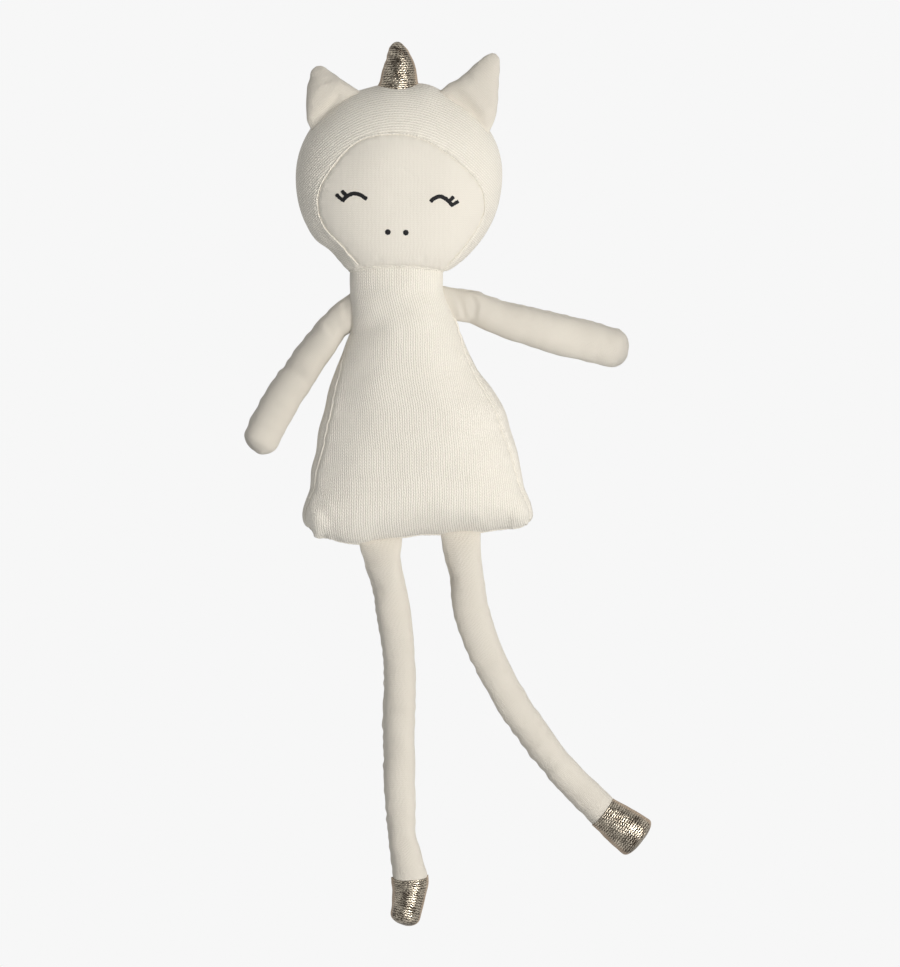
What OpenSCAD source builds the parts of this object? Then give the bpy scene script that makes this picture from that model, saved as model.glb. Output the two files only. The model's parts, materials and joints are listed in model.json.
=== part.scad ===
// Soft knitted unicorn doll, lying on its back. Millimetres.
// +Y runs towards the head, +Z up out of the surface it lies on, and the face looks up.
// Left and right are as seen from the front.

/* [Cloth] */
// Thickness of the cloth
cloth = 1.2; // [0.8:0.1:1.4]
// Play between the filling and its cover
slack = 0.6; // [0.5:0.1:0.8]
// Radius of the seam ridges
seam_r = 0.8; // [0.5:0.1:1.0]

/* [Head] */
// Width of the head
head_w = 111.4; // [106:0.2:114]
// Height of the head above its widest line
head_up = 49.8; // [46:0.2:50]
// Height of the oval's lower half, which the neck cuts short
head_down = 58.8; // [57:0.2:60]
// Depth of the head from front to back
head_depth = 70; // [66:1:72]
// Width of the face panel
face_w = 91; // [84:1:94]
// Height of the face panel above its middle
face_up = 41.8; // [38:0.2:43]
// Height of the face panel below its middle
face_down = 34; // [32:0.5:36]
// Width of the embroidery strokes
stroke_w = 2; // [1.4:0.1:2.4]
// Radius of a nostril
nostril_r = 1.6; // [1.2:0.1:2]

/* [Horn] */
// Radius of the horn at its root
horn_r = 10.5; // [9:0.1:10.6]
// Height of the horn
horn_h = 22.7; // [18:0.1:26]

/* [Ears] */
// Half the greatest thickness of an ear
ear_t = 5.5; // [4:0.5:6]

/* [Neck] */
// Half the width of the neck
neck_w = 25.3; // [24:0.1:26]
// Half the depth of the neck
neck_t = 17.4; // [16:0.1:18]
// Level of the seam between neck and body
collar_y = 105; // [104:0.5:106]
// Level of the seam between head and neck
neck_y = 116; // [115:0.5:117]
// Slope left free in front for the nod
front_bevel = 16; // [15:1:18]
// Slope left free behind for the nod
back_bevel = 11; // [10:1:14]

/* [Limbs] */
// Radius of the gathered root of an arm
arm_root_r = 6.3; // [5.5:0.1:6.4]
// Radius of the gathered root of a leg
leg_root_r = 7.5; // [6.5:0.1:7.6]
// Half the slope left free behind a knee
knee_bevel = 36; // [35:1:38]

/* [Hidden] */

$fn = 48;
KNIT = [0.92, 0.89, 0.84];
FINE_KNIT = [0.94, 0.91, 0.86];
SEAM = [0.96, 0.94, 0.90];
FILL = [0.98, 0.98, 0.97];
GOLD = [0.72, 0.62, 0.45];
THREAD = [0.13, 0.12, 0.12];

// Gap between two parts that turn against each other
gap = 0.4;
// The doll is moved by this much so that its middle lies over the origin
CENTRE = [1.1, 0.3, 0];
HEAD = [-28, 167, 35];
NECK_X = -29;
HORN_X = -28.3;
FACE = [-27, 147.5];
// The face panel passes under the chin below this level
CHIN_Y = 118.5;
// Half thickness of the flat end of a limb, and of its gathered root
TAB_T = 1.3;
ROOT_T = 2.6;

// Body sections from neck to hem: level, left edge, right edge, middle height, half depth front and back
BODY = [
    [104.6, -54.2, -3.8, 32.5, 18, 18],
    [95, -54.2, 0.8, 30.5, 19.5, 19.5],
    [83, -54.6, 6.2, 28, 21, 22],
    [70, -59.6, 11.4, 26, 22.5, 24.5],
    [56, -64.6, 19.6, 25.2, 24, 26.5],
    [40, -68.6, 28.6, 25, 25, 28],
    [20, -72.2, 35.4, 25, 25, 28],
    [4, -75.2, 39.4, 24, 24, 27],
    [-8, -78, 42.6, 22.5, 21, 24.5],
    [-17, -79.6, 44.4, 21, 16, 20.5],
    [-25, -79, 44, 20.2, 9.5, 14],
    [-30, -78, 43.4, 20, 2, 2]];
// Squareness of the body sections: below 1 is fuller than an ellipse
BODY_FULL = 0.88;
HEM_ROUND = 50;

// How far a seam ridge stands off the cloth below it
PROUD = 0.3;

// Limb lines: distance from the seam, x, y, z, half width, half thickness
LEFT_ARM = [
    [0, -54.9, 94.5, 31, 10, 2], [8.3, -60.8, 88.7, 30, 8.6, 3], [17, -66.3, 81.8, 28, 8.6, 6],
    [36, -77.5, 67.2, 22, 9.3, 9.3], [63, -92.8, 45.2, 14.5, 10.2, 10.2], [84, -102.3, 26.5, 10.8, 10, 10],
    [96, -107, 15.6, 10.8, 10, 10]];
RIGHT_ARM = [
    [0, 0.8, 98.3, 31, 10, 2], [9.7, 10, 96, 30, 8.4, 3], [18, 17.8, 93.1, 28.5, 8.8, 6.2],
    [27.4, 26.6, 89.8, 26, 9.7, 8.5], [52.7, 51, 83, 19, 11, 10], [78, 75.6, 76.7, 12.5, 11.2, 10.3],
    [89.4, 86.5, 73.6, 11, 10.6, 10.1], [102, 98.5, 70, 11, 10.6, 10.1]];
LEFT_LEG = [
    [0, -38.3, -33, 20, 11.7, 2], [8, -37, -41, 19.5, 10.6, 3], [20, -34, -53, 17.5, 9.4, 6],
    [40, -31, -73, 13.5, 9.2, 8.5], [60, -29, -93, 10.5, 8.8, 9], [80, -28.4, -113, 9.6, 8.7, 9],
    [110, -28.8, -143, 9.5, 8.5, 9], [140, -27.7, -173, 9.5, 8.5, 9], [160, -26, -193, 9.5, 8.3, 9],
    [172, -24, -205, 9.5, 8.9, 9], [182, -22.3, -215, 9.5, 9.6, 9]];
LEFT_HOOF = [
    [182, -22.3, -215, 9.6, 9.8, 9], [189, -22.4, -222, 9.8, 9, 9.2],
    [197, -23.6, -230, 9.8, 8, 9], [206, -25.6, -238.6, 9.6, 7.4, 8.6], [208, -26, -240.6, 9.6, 7.4, 8.6]];
RIGHT_LEG = [
    [0, 5.5, -27.5, 20, 10.8, 2], [8.5, 6.3, -36, 19.5, 10.2, 3], [20, 8.1, -47.3, 17.5, 9.7, 6],
    [42, 11.4, -69, 13.2, 10, 8.5], [65, 18.6, -91, 10.2, 9.6, 9], [89, 29.2, -112.5, 9.6, 9, 9],
    [115, 43.3, -134, 9.5, 8.8, 9], [143, 61, -155.8, 9.5, 8.8, 9], [160, 72.8, -168.1, 9.5, 8.8, 9],
    [176, 83.8, -179.4, 9.5, 8.6, 8.9]];
RIGHT_HOOF = [
    [176, 83.8, -179.4, 9.6, 8.8, 9], [184, 90.2, -184.2, 9.8, 9.7, 9.2],
    [192, 96.7, -189, 9.8, 10.6, 9.2], [199, 102.3, -193.2, 9.8, 11, 9], [202, 104.7, -195, 9.8, 11, 9]];

ARM_PIVOT = 9.6;
LEG_PIVOT = 11.5;
LEFT_KNEE = 92;
RIGHT_KNEE = 98;
LEFT_SEAM = 182;
RIGHT_SEAM = 176;
LEFT_ARM_END = 93.7;
RIGHT_ARM_END = 99.8;
LEFT_HOOF_END = 206.9;
RIGHT_HOOF_END = 200.2;

// Ear edges from root to tip: x, y. The first pair lies on the head's outline
LEFT_EAR_WEST = [[-77, 192], [-78, 201], [-77.4, 213], [-76.2, 221.5], [-73.6, 226]];
LEFT_EAR_EAST = [[-47.4, 214.8], [-50.6, 214.6], [-58.4, 219.4], [-65, 224.6], [-70, 227.2]];
RIGHT_EAR_WEST = [[-7.4, 214.2], [-2, 215.6], [7.6, 222.8], [15, 229], [21.6, 234]];
RIGHT_EAR_EAST = [[21.8, 190.4], [25.8, 204], [27, 215], [27.2, 225], [25, 233]];
// Thickness of an ear's cloth, which is finer than the rest
EAR_CLOTH = 0.9;
// Half thickness of an ear from root to tip
EAR_HALF = [1, ear_t - 1.3, ear_t, ear_t - 1.3, 1.8];

// ---- numbers along a table ----

function mix(a, b, t) = a + (b - a) * t;
function clamp(v, lo, hi) = max(lo, min(hi, v));

// Smooth value at x in a table whose rows start with x, rising or falling
function at(table, x) = let(
    n = len(table),
    up = table[n - 1][0] > table[0][0] ? 1 : -1,
    k = [for (i = [0 : n - 2]) if (up * x <= up * table[i + 1][0] || i == n - 2) i][0],
    p = table[k],
    q = table[k + 1],
    before = table[max(k - 1, 0)],
    after = table[min(k + 2, n - 1)],
    h = q[0] - p[0],
    t = clamp((x - p[0]) / h, 0, 1),
    m = (q - before) / (q[0] - before[0]) * h,
    w = (after - p) / (after[0] - p[0]) * h)
    (2 * t ^ 3 - 3 * t ^ 2 + 1) * p + (t ^ 3 - 2 * t ^ 2 + t) * m
    + (3 * t ^ 2 - 2 * t ^ 3) * q + (t ^ 3 - t ^ 2) * w;

function unit(v) = v / norm(v);
// The mean of a ring of points
function centre(ring) = [for (p = ring) 1 / len(ring)] * ring;
function flat(rows) = [for (r = rows) each r];

// ---- solids from rings of points ----

// Triangles between rows of points. Rings run anticlockwise about the way the rows advance
function grid(base, rows, cols, wrap) = [
    for (i = [0 : rows - 2], j = [0 : cols - (wrap ? 1 : 2)]) let(
        a = base + i * cols + j,
        b = base + i * cols + (j + 1) % cols)
        each [[a, b, b + cols], [a, b + cols, a + cols]]];
function fan(tip, base, cols) = [for (j = [0 : cols - 1]) [base + j, base + (j + 1) % cols, tip]];
function back(faces) = [for (f = faces) [f[2], f[1], f[0]]];
// Band that closes the edge between an outer row and an inner row
function rim(o, i, cols, wrap) = [
    for (j = [0 : cols - (wrap ? 1 : 2)]) let(k = (j + 1) % cols)
        each [[o + j, i + j, i + k], [o + j, i + k, o + k]]];
function side(o, i, rows, cols) = [
    for (r = [0 : rows - 2]) let(a = o + r * cols, b = i + r * cols)
        each [[a, a + cols, b + cols], [a, b + cols, b]]];

// A sheet of cloth between two grids. tip0 and tip1 close an end: [outer point, inner point]
module sheet(outer, inner, wrap = true, tip0 = undef, tip1 = undef) {
    rows = len(outer);
    cols = len(outer[0]);
    n = rows * cols;
    last = n - cols;
    tips = concat(tip0 == undef ? [] : tip0, tip1 == undef ? [] : tip1);
    t1 = 2 * n + (tip0 == undef ? 0 : 2);
    faces = concat(
        grid(0, rows, cols, wrap),
        back(grid(n, rows, cols, wrap)),
        tip0 == undef ? rim(0, n, cols, wrap) : concat(back(fan(2 * n, 0, cols)), fan(2 * n + 1, n, cols)),
        tip1 == undef ? back(rim(last, n + last, cols, wrap))
            : concat(fan(t1, last, cols), back(fan(t1 + 1, n + last, cols))),
        wrap ? [] : concat(side(0, n, rows, cols), back(side(cols - 1, n + cols - 1, rows, cols))));
    polyhedron(concat(flat(outer), flat(inner), tips), back(faces), convexity = 6);
}

// A closed filling from rings, with its end points
module plug(rings, tip0 = undef, tip1 = undef) {
    rows = len(rings);
    cols = len(rings[0]);
    n = rows * cols;
    first = tip0 == undef ? centre(rings[0]) : tip0;
    final = tip1 == undef ? centre(rings[rows - 1]) : tip1;
    faces = concat(grid(0, rows, cols, true), back(fan(n, 0, cols)), fan(n + 1, n - cols, cols));
    polyhedron(concat(flat(rings), [first, final]), back(faces), convexity = 6);
}

// A ridge of thread along a line of points
module ridge(path, r) {
    n = len(path);
    plug([for (i = [0 : n - 1]) let(
        t = unit(path[min(i + 1, n - 1)] - path[max(i - 1, 0)]),
        u = unit(cross([0, 0, 1], t)),
        v = cross(t, u))
        [for (a = [0 : 60 : 300]) path[i] + r * (cos(a) * u + sin(a) * v)]]);
}

// ---- body ----

BODY_BOTTOM = BODY[len(BODY) - 1][0];
BODY_ROWS = [104.6, 99, 92, 84, 75, 65, 55, 44, 32, 20, 10, 2, -5, -11, -16, -20, -24, -27, -30];

function power(v, e) = sign(v) * abs(v) ^ e;
// The hem sags lowest on the left and its corners turn up
function hem_dip(f) = 5.5 * f + (f < 0 ? 13 : 5) * abs(f) ^ 6;
function body_point(y, a, off) = let(
    row = at(BODY, y),
    f = power(cos(a), BODY_FULL),
    half = a <= 180 ? row[4] : row[5],
    low = clamp((20 - y) / HEM_ROUND, 0, 1))
    [(row[1] + row[2]) / 2 + ((row[2] - row[1]) / 2 - off) * f,
     y + hem_dip(f) * low ^ 2,
     row[3] + max(half - off, 0.4) * power(sin(a), BODY_FULL)];
// The side seams lie a little in front of the widest line, most of all at mid height
function seam_angle(y) = 7 + 16 * clamp((95 - y) / 40, 0, 1) * clamp((y + 32) / 60, 0, 1);
function above(p, z) = [p.x, p.y, max(p.z, z)];
function front_row(y, off) = let(s = seam_angle(y))
    [for (k = [0 : 14]) body_point(y, mix(s, 180 - s, k / 14), off)];
function back_row(y, off) = let(s = seam_angle(y))
    [for (k = [0 : 16]) body_point(y, mix(180 - s, 360 + s, k / 16), off)];

module body_front_panel() {
    color(KNIT)
    sheet([for (y = BODY_ROWS) front_row(y, 0)], [for (y = BODY_ROWS) front_row(y, cloth)], wrap = false);
}

module body_back_panel() {
    color(KNIT)
    intersection() {
        sheet([for (y = BODY_ROWS) back_row(y, 0)],
            [for (y = BODY_ROWS) [for (p = back_row(y, cloth)) above(p, cloth)]], wrap = false);
        translate([-200, -200, 0]) cube([400, 400, 100]);
    }
}

module body_stuffing() {
    off = cloth + slack;
    color(FILL)
    plug([for (y = [for (v = BODY_ROWS) if (v > -26) min(v, 103.8)])
        [for (k = [0 : 27]) above(body_point(y, k * 360 / 28, off), off)]]);
}

function side_line(left) = [for (y = BODY_ROWS) if (y > -28) let(s = seam_angle(y))
    body_point(y, left ? 180 - s : s, -PROUD)];
module left_side_seam() {
    color(SEAM) ridge(side_line(true), seam_r);
}
module right_side_seam() {
    color(SEAM) ridge(side_line(false), seam_r);
}

module hem_seam() {
    color(SEAM) ridge([for (k = [0 : 20]) let(p = body_point(BODY_BOTTOM, 176 - k * 172 / 20, 0))
        [p.x, p.y - PROUD, BODY[len(BODY) - 1][3]]], seam_r);
}

// ---- limbs ----

function limb_point(line, s, a, off) = let(
    row = at(line, s),
    ahead = at(line, s + 0.5),
    behind = at(line, s - 0.5),
    t = unit([ahead[1] - behind[1], ahead[2] - behind[2]]))
    [row[1] - t.y * (row[4] - off) * cos(a), row[2] + t.x * (row[4] - off) * cos(a),
     row[3] + (row[5] - off) * sin(a)];
function limb_ring(line, s, off, squeeze = 1, n = 16) = let(
    mid = at(line, s),
    c = [mid[1], mid[2], mid[3]])
    [for (k = [0 : n - 1]) mix(c, limb_point(line, s, k * 360 / n, off), squeeze)];
function limb_spot(line, s) = let(row = at(line, s)) [row[1], row[2], row[3]];

// Rings from s0 to a blunt round end at s1 that starts curving in over the last r
function closed_rings(line, s0, s1, r, off, rows, n = 16) = concat(
    [for (i = [0 : rows - 1]) limb_ring(line, mix(s0, s1 - r, i / rows), off, 1, n)],
    [for (a = [0 : 18 : 72]) limb_ring(line, s1 - r + (r - off) * sin(a), off, cos(a), n)]);
// Rings from s0 to s1, where an end may lean back below the top by its slope angle
function open_rings(line, s0, s1, off, rows, lean0 = 0, lean1 = 0, n = 16) = [
    for (i = [0 : rows]) [for (k = [0 : n - 1]) let(
        a = k * 360 / n,
        half = at(line, mix(s0, s1, i / rows))[5],
        drop = half - (half - off) * sin(a),
        s = mix(s0 + drop * tan(lean0), s1 - drop * tan(lean1), i / rows))
        limb_point(line, s, a, off)]];

module closed_cover(line, s0, s1, r, rows) {
    sheet(closed_rings(line, s0, s1, r, 0, rows), closed_rings(line, s0, s1, r, cloth, rows),
        tip1 = [limb_spot(line, s1), limb_spot(line, s1 - cloth)]);
}
module closed_filling(line, s0, s1, r, rows) {
    off = cloth + slack;
    plug(closed_rings(line, s0, s1, r, off, rows, 12), tip1 = limb_spot(line, s1 - off));
}
// The flat sewn end of a limb, hollowed round the gathered root
module limb_tab(line, pivot, root_r, outline) {
    k = limb_spot(line, pivot);
    translate([0, 0, k.z - TAB_T])
    difference() {
        linear_extrude(2 * TAB_T) polygon(outline);
        translate([k.x, k.y, -1]) cylinder(r = root_r + gap, h = 2 * TAB_T + 2);
    }
}
// The gathered root of a limb, a flat round lens
module limb_root(line, pivot, root_r) {
    translate(limb_spot(line, pivot))
    rotate_extrude()
    polygon([[0, -ROOT_T], [root_r - 1.6, -ROOT_T], [root_r, -0.8], [root_r, 0.8],
        [root_r - 1.6, ROOT_T], [0, ROOT_T]]);
}

module left_arm_tab() {
    k = limb_spot(LEFT_ARM, ARM_PIVOT);
    color(FINE_KNIT) limb_tab(LEFT_ARM, ARM_PIVOT, arm_root_r,
        [[-54.8, 104], [-54.8, 84.4], [k.x + 3.2, k.y - 8.8], [k.x + 0.6, k.y + 9.4]]);
}
module right_arm_tab() {
    k = limb_spot(RIGHT_ARM, ARM_PIVOT);
    color(FINE_KNIT) limb_tab(RIGHT_ARM, ARM_PIVOT, arm_root_r,
        [[-2.7, 107.4], [5, 89], [k.x - 3.2, k.y - 8.8], [k.x - 1.8, k.y + 9.2]]);
}
module left_leg_tab() {
    k = limb_spot(LEFT_LEG, LEG_PIVOT);
    color(FINE_KNIT) limb_tab(LEFT_LEG, LEG_PIVOT, leg_root_r,
        [[-49.6, -34.6], [k.x - 11, k.y + 0.5], [k.x + 11, k.y + 0.5], [-26.6, -32.6]]);
}
module right_leg_tab() {
    k = limb_spot(RIGHT_LEG, LEG_PIVOT);
    color(FINE_KNIT) limb_tab(RIGHT_LEG, LEG_PIVOT, leg_root_r,
        [[-5.2, -30.6], [k.x - 11, k.y + 0.5], [k.x + 11, k.y + 0.5], [16.4, -28.6]]);
}
module left_arm_root() {
    color(FINE_KNIT) limb_root(LEFT_ARM, ARM_PIVOT, arm_root_r);
}
module right_arm_root() {
    color(FINE_KNIT) limb_root(RIGHT_ARM, ARM_PIVOT, arm_root_r);
}
module left_leg_root() {
    color(FINE_KNIT) limb_root(LEFT_LEG, LEG_PIVOT, leg_root_r);
}
module right_leg_root() {
    color(FINE_KNIT) limb_root(RIGHT_LEG, LEG_PIVOT, leg_root_r);
}

ARM_START = ARM_PIVOT + arm_root_r + gap;
LEG_START = LEG_PIVOT + leg_root_r + gap;
// How far inside its cover's mouth a filling starts
MOUTH = 1;

module left_arm_cover() {
    color(FINE_KNIT) closed_cover(LEFT_ARM, ARM_START, LEFT_ARM_END, 10, 12);
}
module left_arm_stuffing() {
    color(FILL) closed_filling(LEFT_ARM, ARM_START + MOUTH, LEFT_ARM_END, 10, 9);
}
module right_arm_cover() {
    color(FINE_KNIT) closed_cover(RIGHT_ARM, ARM_START, RIGHT_ARM_END, 10.5, 12);
}
module right_arm_stuffing() {
    color(FILL) closed_filling(RIGHT_ARM, ARM_START + MOUTH, RIGHT_ARM_END, 10.5, 9);
}

module upper_leg_cover(line, knee) {
    color(FINE_KNIT) sheet(
        open_rings(line, LEG_START, knee - gap / 2, 0, 10, 0, knee_bevel),
        open_rings(line, LEG_START, knee - gap / 2, cloth, 10, 0, knee_bevel));
}
module upper_leg_stuffing(line, knee) {
    color(FILL) plug(open_rings(line, LEG_START + MOUTH, knee - MOUTH, cloth + slack, 9, 0, knee_bevel, 12));
}
module lower_leg_cover(line, knee, seam) {
    color(FINE_KNIT) sheet(
        open_rings(line, knee + gap / 2, seam - gap / 4, 0, 11, knee_bevel, 0),
        open_rings(line, knee + gap / 2, seam - gap / 4, cloth, 11, knee_bevel, 0));
}
module lower_leg_stuffing(line, knee, seam) {
    color(FILL) plug(open_rings(line, knee + MOUTH, seam - MOUTH, cloth + slack, 9, knee_bevel, 0, 12));
}
module left_upper_leg_cover() upper_leg_cover(LEFT_LEG, LEFT_KNEE);
module left_upper_leg_stuffing() upper_leg_stuffing(LEFT_LEG, LEFT_KNEE);
module left_lower_leg_cover() lower_leg_cover(LEFT_LEG, LEFT_KNEE, LEFT_SEAM);
module left_lower_leg_stuffing() lower_leg_stuffing(LEFT_LEG, LEFT_KNEE, LEFT_SEAM);
module right_upper_leg_cover() upper_leg_cover(RIGHT_LEG, RIGHT_KNEE);
module right_upper_leg_stuffing() upper_leg_stuffing(RIGHT_LEG, RIGHT_KNEE);
module right_lower_leg_cover() lower_leg_cover(RIGHT_LEG, RIGHT_KNEE, RIGHT_SEAM);
module right_lower_leg_stuffing() lower_leg_stuffing(RIGHT_LEG, RIGHT_KNEE, RIGHT_SEAM);

module left_hoof_cover() {
    color(GOLD) closed_cover(LEFT_HOOF, LEFT_SEAM + gap / 4, LEFT_HOOF_END, 5, 6);
}
module left_hoof_stuffing() {
    color(FILL) closed_filling(LEFT_HOOF, LEFT_SEAM + MOUTH, LEFT_HOOF_END, 5, 4);
}
module right_hoof_cover() {
    color(GOLD) closed_cover(RIGHT_HOOF, RIGHT_SEAM + gap / 4, RIGHT_HOOF_END, 3, 6);
}
module right_hoof_stuffing() {
    color(FILL) closed_filling(RIGHT_HOOF, RIGHT_SEAM + MOUTH, RIGHT_HOOF_END, 3, 4);
}

// ---- neck ----

// The neck rises from the body's height to the head's
function neck_point(f, a, off) = let(
    mid = mix(BODY[0][3] + 0.3, HEAD.z, f),
    dz = (neck_t - off) * sin(a),
    top = neck_y - gap - abs(dz) * tan(dz > 0 ? front_bevel : back_bevel))
    [NECK_X + (neck_w - off) * cos(a), mix(collar_y, top, f), mid + dz];
function neck_rings(off, lift = 0) = [for (f = [1, 0.5, 0])
    [for (k = [0 : 27]) neck_point(f * (1 - lift) + lift / 2, k * 360 / 28, off)]];

module neck_cover() {
    color(KNIT) sheet(neck_rings(0), neck_rings(cloth));
}
module neck_stuffing() {
    color(FILL) plug(neck_rings(cloth + slack, 0.06));
}
// The gathered seam fills this share of the wedge between neck and head
WEDGE = 0.96;
function neck_seam_ring(up, off) = [for (k = [0 : 27]) let(
    a = k * 360 / 28,
    dz = (neck_t - off) * sin(a),
    rise = gap / 2 + abs(dz) * tan(dz > 0 ? front_bevel : back_bevel) * WEDGE)
    [NECK_X + (neck_w - off) * cos(a), neck_y + up * rise, HEAD.z + dz]];
module neck_seam() {
    color(KNIT) sheet([neck_seam_ring(1, PROUD), neck_seam_ring(-1, PROUD)],
        [neck_seam_ring(1, PROUD + cloth), neck_seam_ring(-1, PROUD + cloth)]);
}

// ---- head ----

// A point on the head, given the way round and the angle in front of the side line
function head_point(phi, psi, off) = let(
    tall = sin(phi) > 0 ? head_up : head_down,
    e = [(head_w / 2 - off) * cos(phi) * cos(psi), (tall - off) * sin(phi) * cos(psi),
        (head_depth / 2 - off) * sin(psi)],
    slope = tan(e.z > 0 ? front_bevel : back_bevel),
    room = HEAD.y - neck_y - gap - off,
    reach = abs(e.z) * slope - e.y)
    HEAD + (reach > room ? room / reach : 1) * e;
function face_z(x, y) = HEAD.z + head_depth / 2 * sqrt(1 - (2 * (x - HEAD.x) / head_w) ^ 2
    - ((y - HEAD.y) / (y > HEAD.y ? head_up : head_down)) ^ 2);
// The edge of the face panel, as the two head angles
FACE_STEPS = 44;
UNDER_CHIN = 3;
function face_edge(k) = let(
    u = k * 360 / FACE_STEPS,
    y = FACE.y + (sin(u) > 0 ? face_up : face_down) * sin(u),
    q = [2 * (FACE.x + face_w / 2 * cos(u) - HEAD.x) / head_w,
        (y - HEAD.y) / (y > HEAD.y ? head_up : head_down)])
    [atan2(q.y, q.x), y < CHIN_Y ? UNDER_CHIN : acos(min(norm(q), 0.99))];
FACE_EDGE = [for (k = [0 : FACE_STEPS - 1]) face_edge(k)];
// Rings of the head between its edge angle and the side line, or towards a pole
function head_ring(f, off, pole = 0) = [for (e = FACE_EDGE)
    head_point(e[0], pole == 0 ? e[1] * f : (pole > 0 ? mix(e[1], 90, f) : -90 * f), off)];
function head_pole(off, s) = HEAD + [0, 0, s * (head_depth / 2 - off)];

module face_panel() {
    steps = [0 : 6];
    color(FINE_KNIT) sheet([for (i = steps) head_ring(i / 7, 0, 1)], [for (i = steps) head_ring(i / 7, cloth, 1)],
        tip1 = [head_pole(0, 1), head_pole(cloth, 1)]);
}
module hood_panel() {
    steps = [0 : 5];
    color(KNIT) sheet([for (i = steps) head_ring(i / 5, 0)], [for (i = steps) head_ring(i / 5, cloth)]);
}
module head_back_panel() {
    steps = [7 : -1 : 0];
    color(KNIT) sheet([for (i = steps) head_ring(i / 8, 0, -1)], [for (i = steps) head_ring(i / 8, cloth, -1)],
        tip0 = [head_pole(0, -1), head_pole(cloth, -1)]);
}
module head_stuffing() {
    off = cloth + slack;
    color(FILL) plug([for (psi = [-80 : 16 : 80]) [for (k = [0 : 35]) head_point(k * 10, psi, off)]],
        head_pole(off, -1), head_pole(off, 1));
}
module face_seam() {
    seen = [for (k = [0 : FACE_STEPS - 1]) let(e = face_edge(k + FACE_STEPS * 0.75))
        if (e[1] > UNDER_CHIN) head_point(e[0], e[1], -PROUD)];
    color(SEAM) ridge(seen, seam_r);
}

// Places something on the face, square to its surface
module on_face(x, y) {
    tall = y > HEAD.y ? head_up : head_down;
    n = unit([(x - HEAD.x) / head_w ^ 2 * 4, (y - HEAD.y) / tall ^ 2,
        (face_z(x, y) - HEAD.z) / head_depth ^ 2 * 4]);
    way = atan2(n.y, n.x);
    translate([x, y, face_z(x, y)])
        rotate([0, 0, way]) rotate([0, acos(n.z), 0]) rotate([0, 0, -way])
        children();
}
// A flat embroidered stroke through a few points
module stroke(points) {
    n = len(points);
    normals = [for (i = [0 : n - 1]) let(t = unit(points[min(i + 1, n - 1)] - points[max(i - 1, 0)]))
        [-t.y, t.x] * stroke_w / 2];
    polygon(concat([for (i = [0 : n - 1]) points[i] + normals[i]],
        [for (i = [n - 1 : -1 : 0]) points[i] - normals[i]]));
}
STITCH_H = 0.9;
// A closed lid and its two lashes, from the inner end outwards
LID = [[-6.6, -0.6], [-4.4, 1.2], [-1.4, 2.2], [1.6, 1.8], [4, 0.2], [5.6, -1.8]];
LASHES = [[[4.6, -1], [7, 0.2], [8.9, 2]], [[3, 0.9], [4.8, 2], [6.2, 3.8]]];
// side is 1 where the outer end is on the right
module eye(side) {
    color(THREAD)
    translate([0, 0, -STITCH_H / 2])
    linear_extrude(STITCH_H) {
        stroke([for (p = LID) [p.x * side, p.y]]);
        for (lash = LASHES) stroke([for (p = lash) [p.x * side, p.y]]);
    }
}
module left_eye_stitching() on_face(-52.6, 155.2) eye(-1);
module right_eye_stitching() on_face(-4.6, 153.2) eye(1);
module nostril() {
    color(THREAD) translate([0, 0, -STITCH_H / 2]) cylinder(r = nostril_r, h = STITCH_H);
}
module left_nostril_stitching() on_face(-33.8, 136.6) nostril();
module right_nostril_stitching() on_face(-24, 136.4) nostril();

// ---- ears ----

// How far an ear's root stands off the head
EAR_LIFT = 1.4;
// A point across an ear: f runs from the east edge to the west, t from root to tip
function ear_point(west, east, t, a, off) = let(
    n = len(west) - 1,
    index = [for (i = [0 : n]) i],
    w = at([for (i = index) [i, west[i].x, west[i].y]], t * n),
    e = at([for (i = index) [i, east[i].x, east[i].y]], t * n),
    half = at([for (i = index) [i, EAR_HALF[i]]], t * n)[1],
    mid = [w[1] + e[1], w[2] + e[2]] / 2,
    across = [w[1] - e[1], w[2] - e[2]] / 2,
    flat = mid + across * max(1 - off / norm(across), 0.1) * cos(a),
    out = flat - [HEAD.x, HEAD.y],
    edge = norm([out.x / (head_w / 2 + EAR_LIFT), out.y / (head_up + EAR_LIFT)]),
    push = t == 0 ? 1 / edge : max(1, 1 / edge))
    [HEAD.x + out.x * push, HEAD.y + out.y * push, HEAD.z + max(half - off, 0.25) * sin(a)];
function ear_rows(west, east, from, to, n, off, t0 = 0, t1 = 1) = [for (i = [0 : 9])
    [for (k = [0 : n]) ear_point(west, east, mix(t0, t1, i / 9), mix(from, to, k / n), off)]];
module ear_half(west, east, from, to) {
    color(FINE_KNIT) sheet(ear_rows(west, east, from, to, 8, 0), ear_rows(west, east, from, to, 8, EAR_CLOTH),
        wrap = false);
}
module ear_filling(west, east) {
    off = cloth + slack;
    color(FILL) plug([for (row = ear_rows(west, east, 0, 360, 14, off, 0.14, 0.86))
        [for (k = [0 : 13]) row[k]]]);
}
module left_ear_front() ear_half(LEFT_EAR_WEST, LEFT_EAR_EAST, 0, 180);
module left_ear_back() ear_half(LEFT_EAR_WEST, LEFT_EAR_EAST, 180, 360);
module left_ear_stuffing() ear_filling(LEFT_EAR_WEST, LEFT_EAR_EAST);
module right_ear_front() ear_half(RIGHT_EAR_WEST, RIGHT_EAR_EAST, 0, 180);
module right_ear_back() ear_half(RIGHT_EAR_WEST, RIGHT_EAR_EAST, 180, 360);
module right_ear_stuffing() ear_filling(RIGHT_EAR_WEST, RIGHT_EAR_EAST);

// ---- horn ----

HORN_Y = 217.4;
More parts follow.
